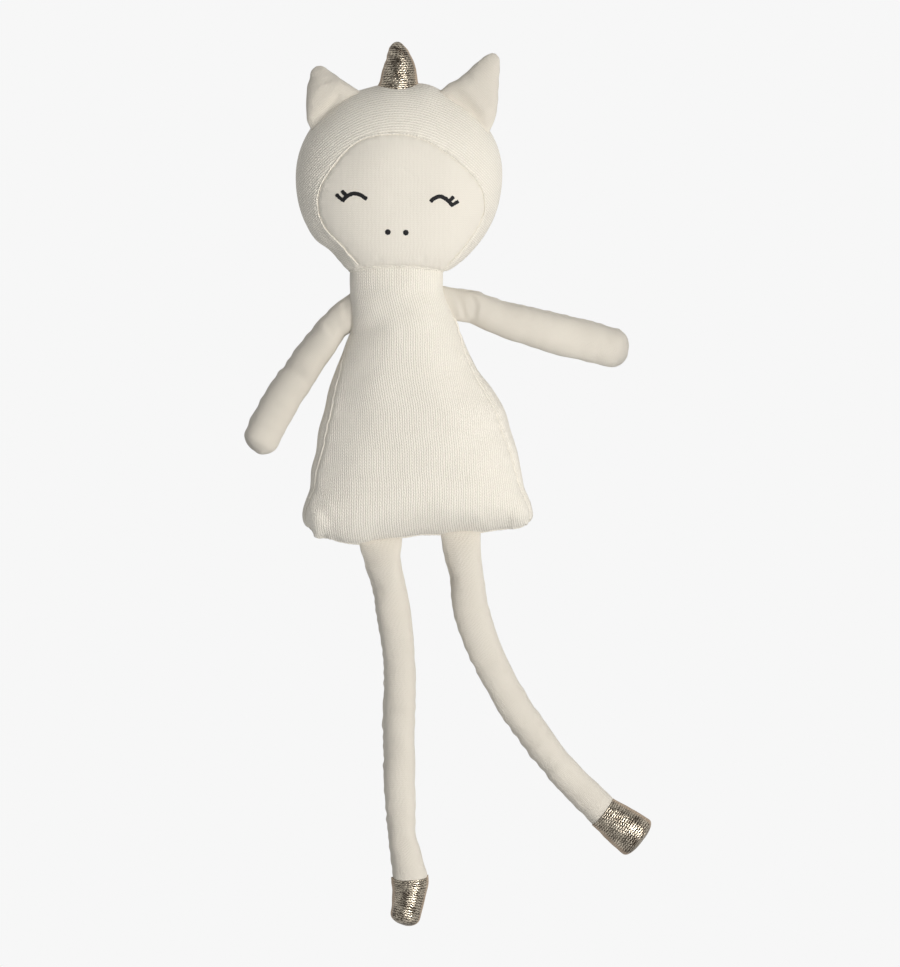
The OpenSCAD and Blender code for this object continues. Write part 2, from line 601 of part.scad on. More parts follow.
// The horn's outline from root to tip, drawn in by off
function horn_outline(off) = [for (i = [0 : 12]) let(a = i * 7.5)
    [max(0, (horn_r - off) * cos(a) ^ 0.9), (horn_h - off) * sin(a)]];
module on_head_top() {
    translate([HORN_X, HORN_Y, HEAD.z]) rotate([-90, 0, 0]) children();
}
module horn_cover() {
    color(GOLD) on_head_top() rotate_extrude() polygon(concat(
        [for (i = [0 : 12]) let(p = horn_outline(0)[i]) [i == 12 ? 0 : p.x, p.y]],
        [for (i = [12 : -1 : 0]) let(p = horn_outline(cloth)[i]) [i == 12 ? 0 : p.x, p.y]]));
}
module horn_stuffing() {
    off = cloth + slack;
    color(FILL) on_head_top() rotate_extrude() polygon(concat([[0, 0.6]],
        [for (i = [0 : 12]) let(p = horn_outline(off)[i]) [i == 12 ? 0 : p.x, max(p.y, 0.6)]]));
}

translate(CENTRE) body_front_panel();
translate(CENTRE) body_back_panel();
translate(CENTRE) body_stuffing();
translate(CENTRE) left_side_seam();
translate(CENTRE) right_side_seam();
translate(CENTRE) hem_seam();
translate(CENTRE) left_arm_tab();
translate(CENTRE) right_arm_tab();
translate(CENTRE) left_leg_tab();
translate(CENTRE) right_leg_tab();
translate(CENTRE) neck_cover();
translate(CENTRE) neck_stuffing();
translate(CENTRE) neck_seam();
translate(CENTRE) face_panel();
translate(CENTRE) hood_panel();
translate(CENTRE) head_back_panel();
translate(CENTRE) head_stuffing();
translate(CENTRE) face_seam();
translate(CENTRE) left_eye_stitching();
translate(CENTRE) right_eye_stitching();
translate(CENTRE) left_nostril_stitching();
translate(CENTRE) right_nostril_stitching();
translate(CENTRE) left_ear_front();
translate(CENTRE) left_ear_back();
translate(CENTRE) left_ear_stuffing();
translate(CENTRE) right_ear_front();
translate(CENTRE) right_ear_back();
translate(CENTRE) right_ear_stuffing();
translate(CENTRE) horn_cover();
translate(CENTRE) horn_stuffing();
translate(CENTRE) left_arm_root();
translate(CENTRE) left_arm_cover();
translate(CENTRE) left_arm_stuffing();
translate(CENTRE) right_arm_root();
translate(CENTRE) right_arm_cover();
translate(CENTRE) right_arm_stuffing();
translate(CENTRE) left_leg_root();
translate(CENTRE) left_upper_leg_cover();
translate(CENTRE) left_upper_leg_stuffing();
translate(CENTRE) left_lower_leg_cover();
translate(CENTRE) left_lower_leg_stuffing();
translate(CENTRE) left_hoof_cover();
translate(CENTRE) left_hoof_stuffing();
translate(CENTRE) right_leg_root();
translate(CENTRE) right_upper_leg_cover();
translate(CENTRE) right_upper_leg_stuffing();
translate(CENTRE) right_lower_leg_cover();
translate(CENTRE) right_lower_leg_stuffing();
translate(CENTRE) right_hoof_cover();
translate(CENTRE) right_hoof_stuffing();
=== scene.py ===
import json
import math

import bpy
import numpy as np
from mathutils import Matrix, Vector
from mathutils.bvhtree import BVHTree

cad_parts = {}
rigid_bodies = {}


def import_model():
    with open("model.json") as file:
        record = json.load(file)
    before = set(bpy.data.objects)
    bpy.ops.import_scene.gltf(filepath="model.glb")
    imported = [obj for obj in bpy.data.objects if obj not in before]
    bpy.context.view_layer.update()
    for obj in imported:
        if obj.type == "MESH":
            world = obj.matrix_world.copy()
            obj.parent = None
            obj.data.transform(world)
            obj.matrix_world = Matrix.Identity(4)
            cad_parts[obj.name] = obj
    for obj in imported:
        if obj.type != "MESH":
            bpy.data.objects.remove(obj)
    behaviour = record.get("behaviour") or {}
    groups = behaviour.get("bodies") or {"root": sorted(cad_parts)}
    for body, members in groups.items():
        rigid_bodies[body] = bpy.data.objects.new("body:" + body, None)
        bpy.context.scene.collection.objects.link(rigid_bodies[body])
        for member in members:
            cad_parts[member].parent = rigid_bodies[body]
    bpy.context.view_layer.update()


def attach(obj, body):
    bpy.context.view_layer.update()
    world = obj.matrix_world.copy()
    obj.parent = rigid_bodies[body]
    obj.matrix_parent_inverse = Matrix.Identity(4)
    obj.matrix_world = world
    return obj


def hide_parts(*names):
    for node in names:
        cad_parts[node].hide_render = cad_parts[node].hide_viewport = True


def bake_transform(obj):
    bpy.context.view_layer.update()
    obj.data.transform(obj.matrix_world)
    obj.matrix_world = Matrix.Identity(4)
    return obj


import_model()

# Tables are in millimetres about the doll's own middle, which lies here in the frame.
SHIFT = np.array([1.1, 0.3, 0.0])
MM = 0.001
# A settled grid gets this many times the points each way
K = 3
SIM_FRAMES = 20


# ---- curves and grids ----

def share(x):
    """x held between 0 and 1."""
    return np.clip(x, 0, 1)


def bell(d, width):
    """1 where d is 0, falling away smoothly over this width on both sides."""
    return np.exp(-(d / width) ** 2)


def spot(g, x, y, wide, tall):
    """1 at a place seen from above, falling away smoothly round it."""
    return np.exp(-(((g[..., 0] - x) / wide) ** 2 + ((g[..., 1] - y) / tall) ** 2))


def squarer(w, power):
    """A sine or cosine whose circle a power below 1 turns into a rounded square."""
    return np.sign(w) * np.abs(w) ** power


def nearest(values, x):
    return int(np.argmin(np.abs(values - x)))


def lengths(p):
    """Distance along a line at each of its points."""
    return np.concatenate([[0], np.cumsum(np.linalg.norm(np.diff(p, axis=0), axis=1))])


def between(u, p, slope_p, q, slope_q):
    """A smooth way from p at u = 0 to q at u = 1, with the slopes given at both."""
    return ((2 * u**3 - 3 * u**2 + 1) * p + (u**3 - 2 * u**2 + u) * slope_p
            + (3 * u**2 - 2 * u**3) * q + (u**3 - u**2) * slope_q)


def curve(table, x):
    """Smooth values at x in a table whose rows start with x, rising or falling."""
    t = np.array(table, float)
    if t[0, 0] > t[-1, 0]:
        t = t[::-1]
    k, p = t[:, 0], t[:, 1:]
    m = np.gradient(p, k, axis=0)
    x = np.asarray(x, float)
    i = np.clip(np.searchsorted(k, x) - 1, 0, len(k) - 2)
    h = (k[i + 1] - k[i])[..., None]
    u = share((x - k[i]) / (k[i + 1] - k[i]))[..., None]
    return between(u, p[i], h * m[i], p[i + 1], h * m[i + 1])


def finer(g):
    """A closed grid with K times the points each way, on a smooth surface through the old ones."""
    for axis, closed in ((0, False), (1, True)):
        count = g.shape[axis]
        x = np.arange(count * K) / K if closed else np.linspace(0, count - 1, (count - 1) * K + 1)
        i = np.floor(x).astype(int)
        if not closed:
            i = np.minimum(i, count - 2)
        u = (x - i).reshape([-1, 1, 1] if axis == 0 else [1, -1, 1])

        def pick(k):
            k = k % count if closed else np.clip(k, 0, count - 1)
            return np.take(g, k, axis=axis)
        a, b, c, d = pick(i - 1), pick(i), pick(i + 1), pick(i + 2)
        if not closed and axis == 0:
            a = np.where((i == 0).reshape(-1, 1, 1), 2 * b - c, a)
            d = np.where((i == count - 2).reshape(-1, 1, 1), 2 * c - b, d)
        g = b + 0.5 * u * (c - a + u * (2 * a - 5 * b + 4 * c - d + u * (3 * (b - c) + d - a)))
    return g


def normals(g, wrap=True):
    """Unit normals of a grid, pointing out."""
    if wrap:
        across = np.roll(g, -1, 1) - np.roll(g, 1, 1)
    else:
        across = np.gradient(g, axis=1)
    n = np.cross(across, np.gradient(g, axis=0))
    n /= np.maximum(np.linalg.norm(n, axis=2, keepdims=True), 1e-9)
    out = g - g.reshape(-1, 3).mean(0)
    return n if (n * out).sum() > 0 else -n


WAVES = 9


def lumps(p, size, seed):
    """Smooth seeded noise between about -1 and 1 at points p, with bumps of about this size."""
    rng = np.random.default_rng(seed)
    total = np.zeros(p.shape[:-1])
    for _ in range(WAVES):
        d = rng.normal(size=3)
        d *= 2 * math.pi / (size * rng.uniform(0.8, 1.5)) / np.linalg.norm(d)
        total += np.sin(p @ d + rng.uniform(0, 6.28))
    return total / math.sqrt(WAVES)


def placed(name, data):
    """A new object in the scene."""
    ob = bpy.data.objects.new(name, data)
    bpy.context.scene.collection.objects.link(ob)
    return ob


def to_line(p, line):
    """Distance from each point to a broken line, and how far along the line it is."""
    best = np.full(p.shape[:-1], 1e9)
    along = np.zeros(p.shape[:-1])
    run = 0.0
    line = np.array(line, float)
    for a, b in zip(line[:-1], line[1:]):
        d = b - a
        length = np.linalg.norm(d)
        t = share(((p - a) @ d) / length**2)
        far = np.linalg.norm(p - a - t[..., None] * d, axis=-1)
        near = far < best
        best = np.where(near, far, best)
        along = np.where(near, run + t * length, along)
        run += length
    return best, along


def creased(g, folds):
    """Presses folds into the front of a grid: each a line, a width and a depth, with a swell beside it."""
    for line, width, depth in folds:
        d, along = to_line(g[..., :2], line)
        end = along / max(along.max(), 1e-9)
        fade = share(np.minimum(end, 1 - end) * 5 + 0.25)
        move = -bell(d, width) + 0.45 * bell(d - 1.9 * width, width)
        n = normals(g)
        g = g + n * (depth * move * fade)[..., None] * share(n[..., 2:])
    return g


def gathers(s, pitch, seed):
    """Uneven puckers along a seam, between about -1 and 1."""
    rng = np.random.default_rng(seed)
    total = np.zeros_like(s)
    for k in range(5):
        total += np.sin(s * 2 * math.pi / (pitch * rng.uniform(0.75, 1.9)) + rng.uniform(0, 6.28))
    return total / 2.4


def pinned(g, first, last, columns=()):
    """A mask of the points held still: first and last rows, and some columns."""
    held = np.zeros(g.shape[:2], bool)
    held[:first] = True
    held[len(g) - last:] = True
    for c in columns:
        held[:, c] = True
    return held


def settle(label, g, held, grow, pressure, cap, calm=3):
    """Runs a cloth simulation on a closed grid that is blown up inside and held where held is True.
    calm is how often the movement is averaged with its neighbours, so only broad swells stay."""
    rows, cols = g.shape[:2]
    scale = 0.01
    i, j = np.meshgrid(np.arange(rows - 1), np.arange(cols), indexing="ij")
    k = (j + 1) % cols
    quads = np.stack([i * cols + j, i * cols + k, (i + 1) * cols + k, (i + 1) * cols + j], -1).reshape(-1, 4)
    me = bpy.data.meshes.new(label)
    me.from_pydata((g.reshape(-1, 3) * scale).tolist(), [], quads.tolist())
    n = np.array([v.normal for v in me.vertices])
    if (n * (g.reshape(-1, 3) - g.reshape(-1, 3).mean(0))).sum() < 0:
        me.flip_normals()
    ob = placed(label, me)
    pin = ob.vertex_groups.new(name="pin")
    for v in np.flatnonzero(held.reshape(-1)):
        pin.add([int(v)], 1.0, "REPLACE")
    cloth = ob.modifiers.new("cloth", "CLOTH")
    c = cloth.settings
    c.quality = 6
    c.mass = 0.15
    c.tension_stiffness = c.compression_stiffness = 14
    c.shear_stiffness = 6
    c.bending_stiffness = 0.35
    c.tension_damping = c.compression_damping = c.shear_damping = 8
    c.air_damping = 2
    c.vertex_group_mass = "pin"
    c.shrink_min = -grow
    c.use_pressure = True
    c.uniform_pressure_force = pressure
    c.effector_weights.gravity = 0
    cloth.point_cache.frame_start, cloth.point_cache.frame_end = 1, SIM_FRAMES
    for f in range(1, SIM_FRAMES + 1):
        bpy.context.scene.frame_set(f)
    dg = bpy.context.evaluated_depsgraph_get()
    m = ob.evaluated_get(dg).to_mesh()
    co = np.empty(len(m.vertices) * 3, np.float32)
    m.vertices.foreach_get("co", co)
    moved = co.reshape(rows, cols, 3).astype(float) / scale - g
    bpy.data.objects.remove(ob)
    bpy.context.scene.frame_set(1)
    far = np.linalg.norm(moved, axis=2, keepdims=True)
    print("settle", label, f"mean {far.mean():.2f} most {far.max():.2f} mm", flush=True)
    if not np.isfinite(moved).all():
        return g
    moved = moved * np.minimum(1, cap / np.maximum(far, 1e-9))
    for _ in range(calm):
        wide = np.concatenate([moved[:, -1:], moved, moved[:, :1]], 1)
        moved = (wide[:, :-2] + 2 * moved + wide[:, 2:]) / 4
        tall = np.concatenate([moved[:1], moved, moved[-1:]])
        moved = (tall[:-2] + 2 * moved + tall[2:]) / 4
    moved[held] *= 0.3
    moved[[0, -1]] = 0
    return g + moved


def grid_knit(g, wrap=True, middle=None, turn=0.0):
    """Cloth coordinates in metres at each corner of a grid: across the ribs, along the ribs."""
    shown = np.concatenate([g, g[:, :1]], 1) if wrap else g
    step = np.linalg.norm(np.diff(shown, axis=1), axis=2)
    u = np.concatenate([np.zeros((len(g), 1)), np.cumsum(step, 1)], 1)
    if middle is not None:
        u = u - u[:, middle:middle + 1]
    rise = np.linalg.norm(np.diff(shown, axis=0), axis=2).mean(1)
    v = np.repeat(np.concatenate([[0], np.cumsum(rise)])[:, None], shown.shape[1], 1)
    return np.stack([u, v, np.full_like(u, turn)], -1) * MM


def side_reflection_knit(g):
    """Cloth coordinates of a gold tube, whose third one rises to 1 mm along its two side seams, where the
    gold cloth gets a painted tan reflection of the pale floor.
    """
    knit = grid_knit(g)
    side = np.abs(np.cos(np.radians(np.linspace(-90, 270, knit.shape[1]))))
    knit[..., 2] = share((side - 0.8) / 0.14) * MM
    return knit


def skin(name, g, cloth, nodes, knit=None, wrap=True, thick=0.9, closed=(False, False), n=None):
    """A piece of cloth from a grid, with an inner face. cloth is its material and a slot name, which is not
    used; nodes are the
    CAD nodes that it replaces, and closed says which of its ends run to a point. n is the part of a whole
    grid's normals that falls on this piece, so that it meets the next without a line."""
    material, slot = cloth
    knit = grid_knit(g, wrap) if knit is None else knit
    rows, cols = g.shape[:2]
    shaded = n is not None
    n = n if shaded else normals(g, wrap)
    inner = g - n * thick
    wide = cols + 1 if wrap else cols
    points = [g.reshape(-1, 3), inner.reshape(-1, 3)]
    size = rows * cols
    i, j = np.meshgrid(np.arange(rows - 1), np.arange(wide - 1), indexing="ij")
    corner = [(i, j), (i, j + 1), (i + 1, j + 1), (i + 1, j)]
    vert = np.stack([a * cols + b % cols for a, b in corner], -1).reshape(-1, 4)
    at = np.stack([a * wide + b for a, b in corner], -1).reshape(-1, 4)
    faces, knits = [], []

    def rim(a, b, ka, kb):
        faces.append(np.stack([b, a, a + size, b + size], -1))
        knits.append(np.stack([kb, ka, ka, kb], -1))
    jj = np.arange(wide - 1)
    if not closed[0]:
        rim(jj, (jj + 1) % cols, jj, jj + 1)
    if not closed[1]:
        last, klast = (rows - 1) * cols, (rows - 1) * wide
        rim(last + (jj + 1) % cols, last + jj, klast + jj + 1, klast + jj)
    if not wrap:
        ii = np.arange(rows - 1)
        rim((ii + 1) * cols, ii * cols, (ii + 1) * wide, ii * wide)
        edge, kedge = ii * cols + cols - 1, ii * wide + wide - 1
        rim(edge, edge + cols, kedge, kedge + wide)
    # The renderer keeps the last normal given to a point, so the flat rim faces come before the smooth ones
    flat = sum(len(f) for f in faces)
    quads = np.concatenate([*faces, vert[:, ::-1] + size, vert])
    corners = np.concatenate([*knits, at[:, ::-1], at])
    k = knit.reshape(-1, 3)
    polygons = quads.tolist()
    values = k[corners].reshape(-1, 3).tolist()
    extra = 2 * size
    for to_point, row, sign in ((closed[0], 0, 1), (closed[1], rows - 1, -1)):
        if not to_point:
            continue
        for layer, grid_layer in ((0, g), (1, inner)):
            points.append(grid_layer[row].mean(0, keepdims=True))
            middle = k.reshape(rows, wide, 3)[row].mean(0)
            for b in range(cols):
                ring = [row * cols + b + layer * size, row * cols + (b + 1) % cols + layer * size]
                kk = [k[row * wide + b], k[row * wide + b + 1]]
                if (sign > 0) == (layer == 0):
                    ring, kk = ring[::-1], kk[::-1]
                polygons.append([*ring, extra])
                values += [list(kk[0]), list(kk[1]), list(middle)]
            extra += 1
    me = bpy.data.meshes.new(name)
    me.from_pydata(((np.concatenate(points) + SHIFT) * MM).tolist(), [], polygons)
    round_faces = np.ones(len(me.polygons), bool)
    round_faces[:flat] = False
    me.polygons.foreach_set("use_smooth", round_faces)
    a = me.attributes.new("knit", "FLOAT_VECTOR", "CORNER")
    a.data.foreach_set("vector", np.array(values, np.float32).reshape(-1))
    out = np.array([p.normal for p in me.polygons[len(quads) - len(vert):len(quads)]])
    if (out * n[:-1, :(wide - 1)].reshape(-1, 3)).sum() < 0:
        me.flip_normals()
    if shaded:
        at_point = np.concatenate([n.reshape(-1, 3), -n.reshape(-1, 3), np.zeros((extra - 2 * size, 3))])
        index = np.empty(len(me.loops), np.int32)
        me.loops.foreach_get("vertex_index", index)
        custom = at_point[index]
        custom[:4 * flat] = 0
        me.normals_split_custom_set(custom.tolist())
    me.materials.append(material)
    ob = placed(name, me)
    if nodes is not None:
        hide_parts(*([nodes] if isinstance(nodes, str) else nodes))
    return ob


TUBE_SIDES = 8


def tube(path, radius, beads, pitch, wobble, seed):
    """A grid for a seam ridge along a line, with its stitches as beads."""
    p = np.array(path, float)
    t = np.gradient(p, axis=0)
    t /= np.linalg.norm(t, axis=1, keepdims=True)
    u = np.cross([0, 0, 1], t)
    u /= np.maximum(np.linalg.norm(u, axis=1, keepdims=True), 1e-9)
    v = np.cross(t, u)
    s = lengths(p)
    r = radius * (1 + beads * np.sin(2 * math.pi * s / pitch)) * (1 + wobble * gathers(s, 7, seed))
    r = r * share(np.minimum(s, s[-1] - s) / 1.5 + 0.35)
    a = np.linspace(0, 2 * math.pi, TUBE_SIDES, endpoint=False)
    return p[:, None] + r[:, None, None] * (np.cos(a)[None, :, None] * u[:, None]
                                            + np.sin(a)[None, :, None] * v[:, None])


def even(path, step):
    """The same line with points this far apart."""
    p = np.array(path, float)
    s = lengths(p)
    x = np.linspace(0, s[-1], max(3, int(s[-1] / step)))
    return np.stack([np.interp(x, s, p[:, k]) for k in range(3)], -1)


def ridge(node, line, step, shape, cloth, thick=0.3):
    """A raised seam along a line. shape is its tube's radius, beads, pitch, wobble and seed."""
    return skin(node + "_soft", tube(even(line, step), *shape), cloth, node, thick=thick, closed=(True, True))


def filling(node, g, step=2, offset=1.7):
    """The fibre filling just inside a cover."""
    inner = (g - normals(g) * offset)[::step, ::step]
    return skin(node + "_soft", inner, FIBRE, node, thick=0.6, closed=(True, True))


# ---- materials ----

class Graph:
    """Builds a material from math nodes."""

    def __init__(self, name):
        self.material = bpy.data.materials.new(name)
        self.material.use_nodes = True
        self.tree = self.material.node_tree
        self.shader = self.tree.nodes["Principled BSDF"]

    def node(self, kind, **inputs):
        n = self.tree.nodes.new(kind)
        for key, value in inputs.items():
            self.put(n.inputs[key.replace("_", " ")], value)
        return n

    def put(self, socket, value):
        if isinstance(value, bpy.types.NodeSocket):
            self.tree.links.new(value, socket)
        else:
            socket.default_value = value

    def math(self, operation, *values):
        n = self.tree.nodes.new("ShaderNodeMath")
        n.operation = operation
        for socket, value in zip(n.inputs, values):
            self.put(socket, value)
        return n.outputs[0]

    def line(self, x, slope, start):
        return self.math("MULTIPLY_ADD", x, slope, start)

    def zigzag(self, x):
        """1 at each whole number and 0 halfway between."""
        return self.math("ABSOLUTE", self.line(self.math("FRACT", x), 2.0, -1.0))

    def dome(self, x, power):
        return self.math("SUBTRACT", 1.0, self.math("POWER", x, power))

    def cloth(self):
        n = self.tree.nodes.new("ShaderNodeAttribute")
        n.attribute_name = "knit"
        s = self.node("ShaderNodeSeparateXYZ")
        self.tree.links.new(n.outputs["Vector"], s.inputs[0])
        return n.outputs["Vector"], *s.outputs[:3]

    def noise(self, vector, scale, detail):
        n = self.node("ShaderNodeTexNoise", Vector=vector, Scale=scale, Detail=detail)
        return n.outputs[0]

    def mix(self, factor, a, b):
        n = self.tree.nodes.new("ShaderNodeMix")
        n.data_type = "RGBA"
        self.put(n.inputs[0], factor)
        self.put(n.inputs[6], a)
        self.put(n.inputs[7], b)
        return n.outputs[2]

    def bump(self, height, distance):
        return self.node("ShaderNodeBump", Height=height, Strength=1.0, Distance=distance).outputs[0]

    def set(self, **values):
        for key, value in values.items():
            self.put(self.shader.inputs[key.replace("_", " ")], value)


def knitted(name, colour, gap_shade, wale, course, depth, slant):
    """Plain knit: ribs of paired slanting loops, with painted shade in the gaps between them."""
    g = Graph(name)
    vector, u, v, _ = g.cloth()
    wander = g.math("SUBTRACT", g.noise(vector, 260.0, 1.0), 0.5)
    u = g.line(wander, 0.0007, u)
    v = g.line(wander, 0.0009, v)
    side = g.zigzag(g.math("DIVIDE", u, wale))
    leg = g.dome(g.math("ABSOLUTE", g.line(side, 2.0, -1.0)), 1.7)
    loop = g.dome(g.zigzag(g.line(side, slant, g.math("DIVIDE", v, course))), 1.4)
    height = g.math("MULTIPLY", leg, g.line(loop, 0.6, 0.4))
    fuzz = g.noise(vector, 2400.0, 3.0)
    broad = g.noise(vector, 38.0, 2.0)
    height = g.line(fuzz, 0.45, height)
    # Low parts of the knit take the gap colour: painted shade between the loops, plus broad tone that differs
    # at random
    gap_shade_and_tone = g.line(height, 1.15, g.line(broad, 0.5, -0.45))
    g.set(Base_Color=g.mix(gap_shade_and_tone, (*gap_shade, 1), (*colour, 1)), Roughness=0.92, Sheen_Weight=0.18,
          Sheen_Roughness=0.55, Specular_IOR_Level=0.18, Normal=g.bump(height, depth))
    return g.material


def lame(name):
    """Metallic knit cloth with fine crosswise zigzag ribs, darker in the hollows between its bright rib
    crowns and in broad
    patches: painted shade. The third cloth coordinate, in millimetres, is 1 along the seams at the tube's
    sides, where a tan colour is painted reflection of the pale floor."""
    g = Graph(name)
    vector, u, v, edge = g.cloth()
    # This is 1 along the tube's sides, where the foil gets a painted tan reflection of the pale floor
    side_reflection = g.math("MULTIPLY", edge, 1000.0)
    wander = g.math("SUBTRACT", g.noise(vector, 420.0, 2.0), 0.5)
    zig = g.zigzag(g.math("DIVIDE", u, 0.0021))
    rib = g.dome(g.zigzag(g.line(zig, 0.35, g.math("DIVIDE", g.line(wander, 0.0014, v), 0.00135))), 2.0)
    spark = g.noise(vector, 1300.0, 3.0)
    shade_patch = g.noise(vector, 150.0, 2.0)
    height = g.math("MULTIPLY", g.line(spark, 0.5, rib), g.line(side_reflection, -0.8, 1.0))
    # The foil darkens in the hollows between the rib crowns and in broad patches, made uneven by the fine
    # spark noise: painted shade for the dark surroundings that the foil reflects
    shade = g.line(spark, 2.2, g.line(rib, 0.9, -2.25))
    shade = g.line(shade_patch, 1.8, shade)
    foil = g.mix(shade, (0.06, 0.042, 0.028, 1), (0.95, 0.84, 0.67, 1))
    # At the tube's sides the colour is tan, less metallic and rougher: painted reflection of the pale floor
    g.set(Base_Color=g.mix(g.math("MULTIPLY", side_reflection, 0.85), foil, (0.55, 0.42, 0.30, 1)),
          Metallic=g.line(side_reflection, -0.6, 0.95), Roughness=g.line(side_reflection, 0.3, 0.26),
          Normal=g.bump(height, 0.0002))
    return g.material


def plain(name, colour, roughness, grain, **more):
    """One colour, with a fine uneven surface."""
    g = Graph(name)
    g.set(Base_Color=(*colour, 1), Roughness=roughness, **more)
    g.set(Normal=g.bump(g.noise(g.cloth()[0], 1800.0, 3.0), grain))
    return g.material


# Each cloth is a material and a slot name. Knits: colour, gaps' colour, rib, row, depth, slant
# The gaps' colour of each knit is painted shade between its loops
COARSE = knitted("coarse_knit", (0.935, 0.885, 0.785), (0.75, 0.695, 0.60), 0.0026, 0.00165,
                 0.00032, 0.95), "coarse_knit"
FINE = knitted("fine_knit", (0.815, 0.763, 0.668), (0.67, 0.61, 0.52), 0.0014, 0.0010,
               0.00019, 0.8), "fine_knit"
FACE_FINE = knitted("face_knit", (0.855, 0.805, 0.71), (0.755, 0.70, 0.61), 0.0014, 0.0010,
                    0.00013, 0.8), "fine_knit"
RIDGE = plain("seam_thread", (0.80, 0.755, 0.665), 0.9, 0.0002, Sheen_Weight=0.2), "seam_thread"
FLOSS = plain("embroidery_thread", (0.0085, 0.008, 0.009), 0.6, 0.00006, Sheen_Weight=0.04,
              Specular_IOR_Level=0.3), "embroidery_thread"
FIBRE = plain("fibre_filling", (0.86, 0.86, 0.84), 1.0, 0.0006), "fibre_filling"
GOLD = lame("gold_cloth"), "gold_cloth"


# ---- body ----

# Level, left edge, right edge, middle height, half depth in front and behind
BODY = [
    [119, -54.2, -3.9, 35, 17.0, 17.2], [112, -54.5, -3.8, 34, 17.4, 17.5],
    [104.6, -54.4, -3.4, 32.5, 18, 18], [95, -54.4, 0.8, 30.5, 19.6, 19.5],
    [83, -54.8, 6.2, 28, 21.4, 22], [72.6, -58.7, 10.4, 26.4, 22.7, 24.2],
    [61.7, -62.6, 15.8, 25.5, 23.8, 26], [50.8, -66.3, 22.8, 25.1, 24.6, 27.2],
    [40, -68.6, 28.8, 25, 25, 28], [29, -71.2, 32.4, 25, 25, 28],
    [18, -72.6, 35.9, 25, 25, 28], [7.3, -75, 38.6, 24.3, 24.4, 27.4],
    [0, -75.6, 40.4, 23.6, 23.4, 26.6], [-8, -77.2, 41.8, 22, 22, 25]]
# Below LOW_Y, from there to the hem: share of the way, left, right, middle height, half depths
LOW_Y = 2.0
LOW = [
    [0, -75.4, 39.9, 23.9, 23.8, 26.9], [0.2, -76.2, 41.2, 23.4, 23.2, 26.4],
    [0.4, -78.0, 42.7, 22.8, 22.3, 25.2], [0.6, -79.4, 43.9, 22, 20.6, 22.6],
    [0.78, -79.6, 44.6, 21, 17, 18.6], [0.9, -78.7, 44.6, 20.4, 12.3, 13.4],
    [0.97, -77.4, 44.1, 20.1, 7.2, 7.8], [1, -76.3, 43.6, 20, 0.9, 0.9]]
# The hem seen from the front: x, y
HEM = [[-76.3, -24.8], [-72, -29.4], [-66.8, -29.2], [-60, -31.5], [-50, -33.0], [-38, -30.8],
       [-27, -29.5], [-19, -28.1], [-11, -27.0], [-5, -27.8], [5, -26.6], [17, -26.4],
       [26, -24.9], [38, -23.9], [43.6, -21.0]]
FRONT_COLS, BACK_COLS = 36, 44
COLLAR_Y = 103


def body_grid(levels, shares):
    """Rings down the body to LOW_Y, then rings that close to the hem."""
    low = np.concatenate([np.zeros(len(levels)), shares])
    row = np.concatenate([curve(BODY, levels), curve(LOW, shares)])
    y = np.concatenate([levels, LOW_Y - 28 * shares])
    s = 7 + 16 * share((95 - y) / 40) * share((y + 32) / 60)
    a = np.concatenate([np.linspace(s, 180 - s, FRONT_COLS + 1)[:-1],
                        np.linspace(180 - s, 360 + s, BACK_COLS + 1)[:-1]])
    a = np.radians(a.T)
    full = (0.88 - 0.18 * low)[:, None]
    f, h = squarer(np.cos(a), full), squarer(np.sin(a), full)
    half = np.where(h > 0, row[:, 3:4], row[:, 4:5])
    x = (row[:, :1] + row[:, 1:2]) / 2 + (row[:, 1:2] - row[:, :1]) / 2 * f
    hem = np.array(HEM, float)
    bottom = np.interp(x, hem[:, 0], hem[:, 1])
    y = np.where(low[:, None] > 0, LOW_Y + (bottom - LOW_Y) * low[:, None], y[:, None])
    return np.stack([x, y, row[:, 2:3] + half * h], -1)


def make_body():
    levels = np.linspace(119, LOW_Y, 40)
    g = body_grid(levels, np.array([0.09, 0.18, 0.27, 0.36, 0.45, 0.54, 0.62, 0.70, 0.77, 0.83, 0.885, 0.93,
                                    0.965, 0.988, 1]))
    levels = g[:, 0, 1]
    held = pinned(g, 0, 2, (0, FRONT_COLS))
    held[levels > COLLAR_Y + 6] = True
    held[:, FRONT_COLS + 6:-6] |= (g[:, FRONT_COLS + 6:-6, 2] < 2)
    g = finer(settle("body", g, held, 0.02, 2.0, 2.5))
    n = normals(g)
    move = np.zeros(g.shape[:2])
    for c, seed, deep in ((0, 11, 1.15), (FRONT_COLS * K, 12, 0.8)):
        d, s = to_line(g, g[::K, c])
        calm = share((100 - g[..., 1]) / 25)
        move += calm * (-deep * bell(d, 2.2) + 0.22 * gathers(s, 7, seed) * bell(d, 5))
    d, s = to_line(g, g[-1, ::K][:FRONT_COLS + 1])
    corner = share((g[..., 0] - 15) / 20) + share((-48 - g[..., 0]) / 15)
    move += (0.1 + 0.6 * corner) * gathers(s, 5.0, 13) * bell(d, 6) * share(d / 2)
    move += 0.45 * lumps(g, 44, 14) * share((101 - g[..., 1]) / 20) * share(d / 6)
    # The hem's corners are turned out full
    for x, y in ((-72.5, -20), (37.5, -15.5)):
        move += 1.5 * spot(g, x, y, 6.5, 6.5) * share(d / 4)
    g = g + n * move[..., None]
    # Folds that run in from the hem's corners and from the arm roots
    g = creased(g, (
        ([(31, -25), (31, -17), (38, -8)], 2.2, 0.55), ([(40, -3), (31, -9), (22, -20)], 2.6, 0.4),
        ([(-63, -30), (-64, -22), (-74, -9)], 2.4, 0.4), ([(-54, 86), (-46, 84), (-38, 86)], 2.6, 0.35),
        ([(2, 92), (-7, 92), (-15, 95)], 2.4, 0.35), ([(-52, -31), (-50, -24), (-47, -17)], 2.6, 0.3),
        ([(16, -26), (19, -19), (19, -12)], 2.2, 0.3)))
    g[..., 2] = np.where(g[..., 2] < 0.25, 0.25 + 0.04 * (g[..., 2] - 0.25), g[..., 2])
    g[..., 2] = np.maximum(g[..., 2], 0.05)
    return g


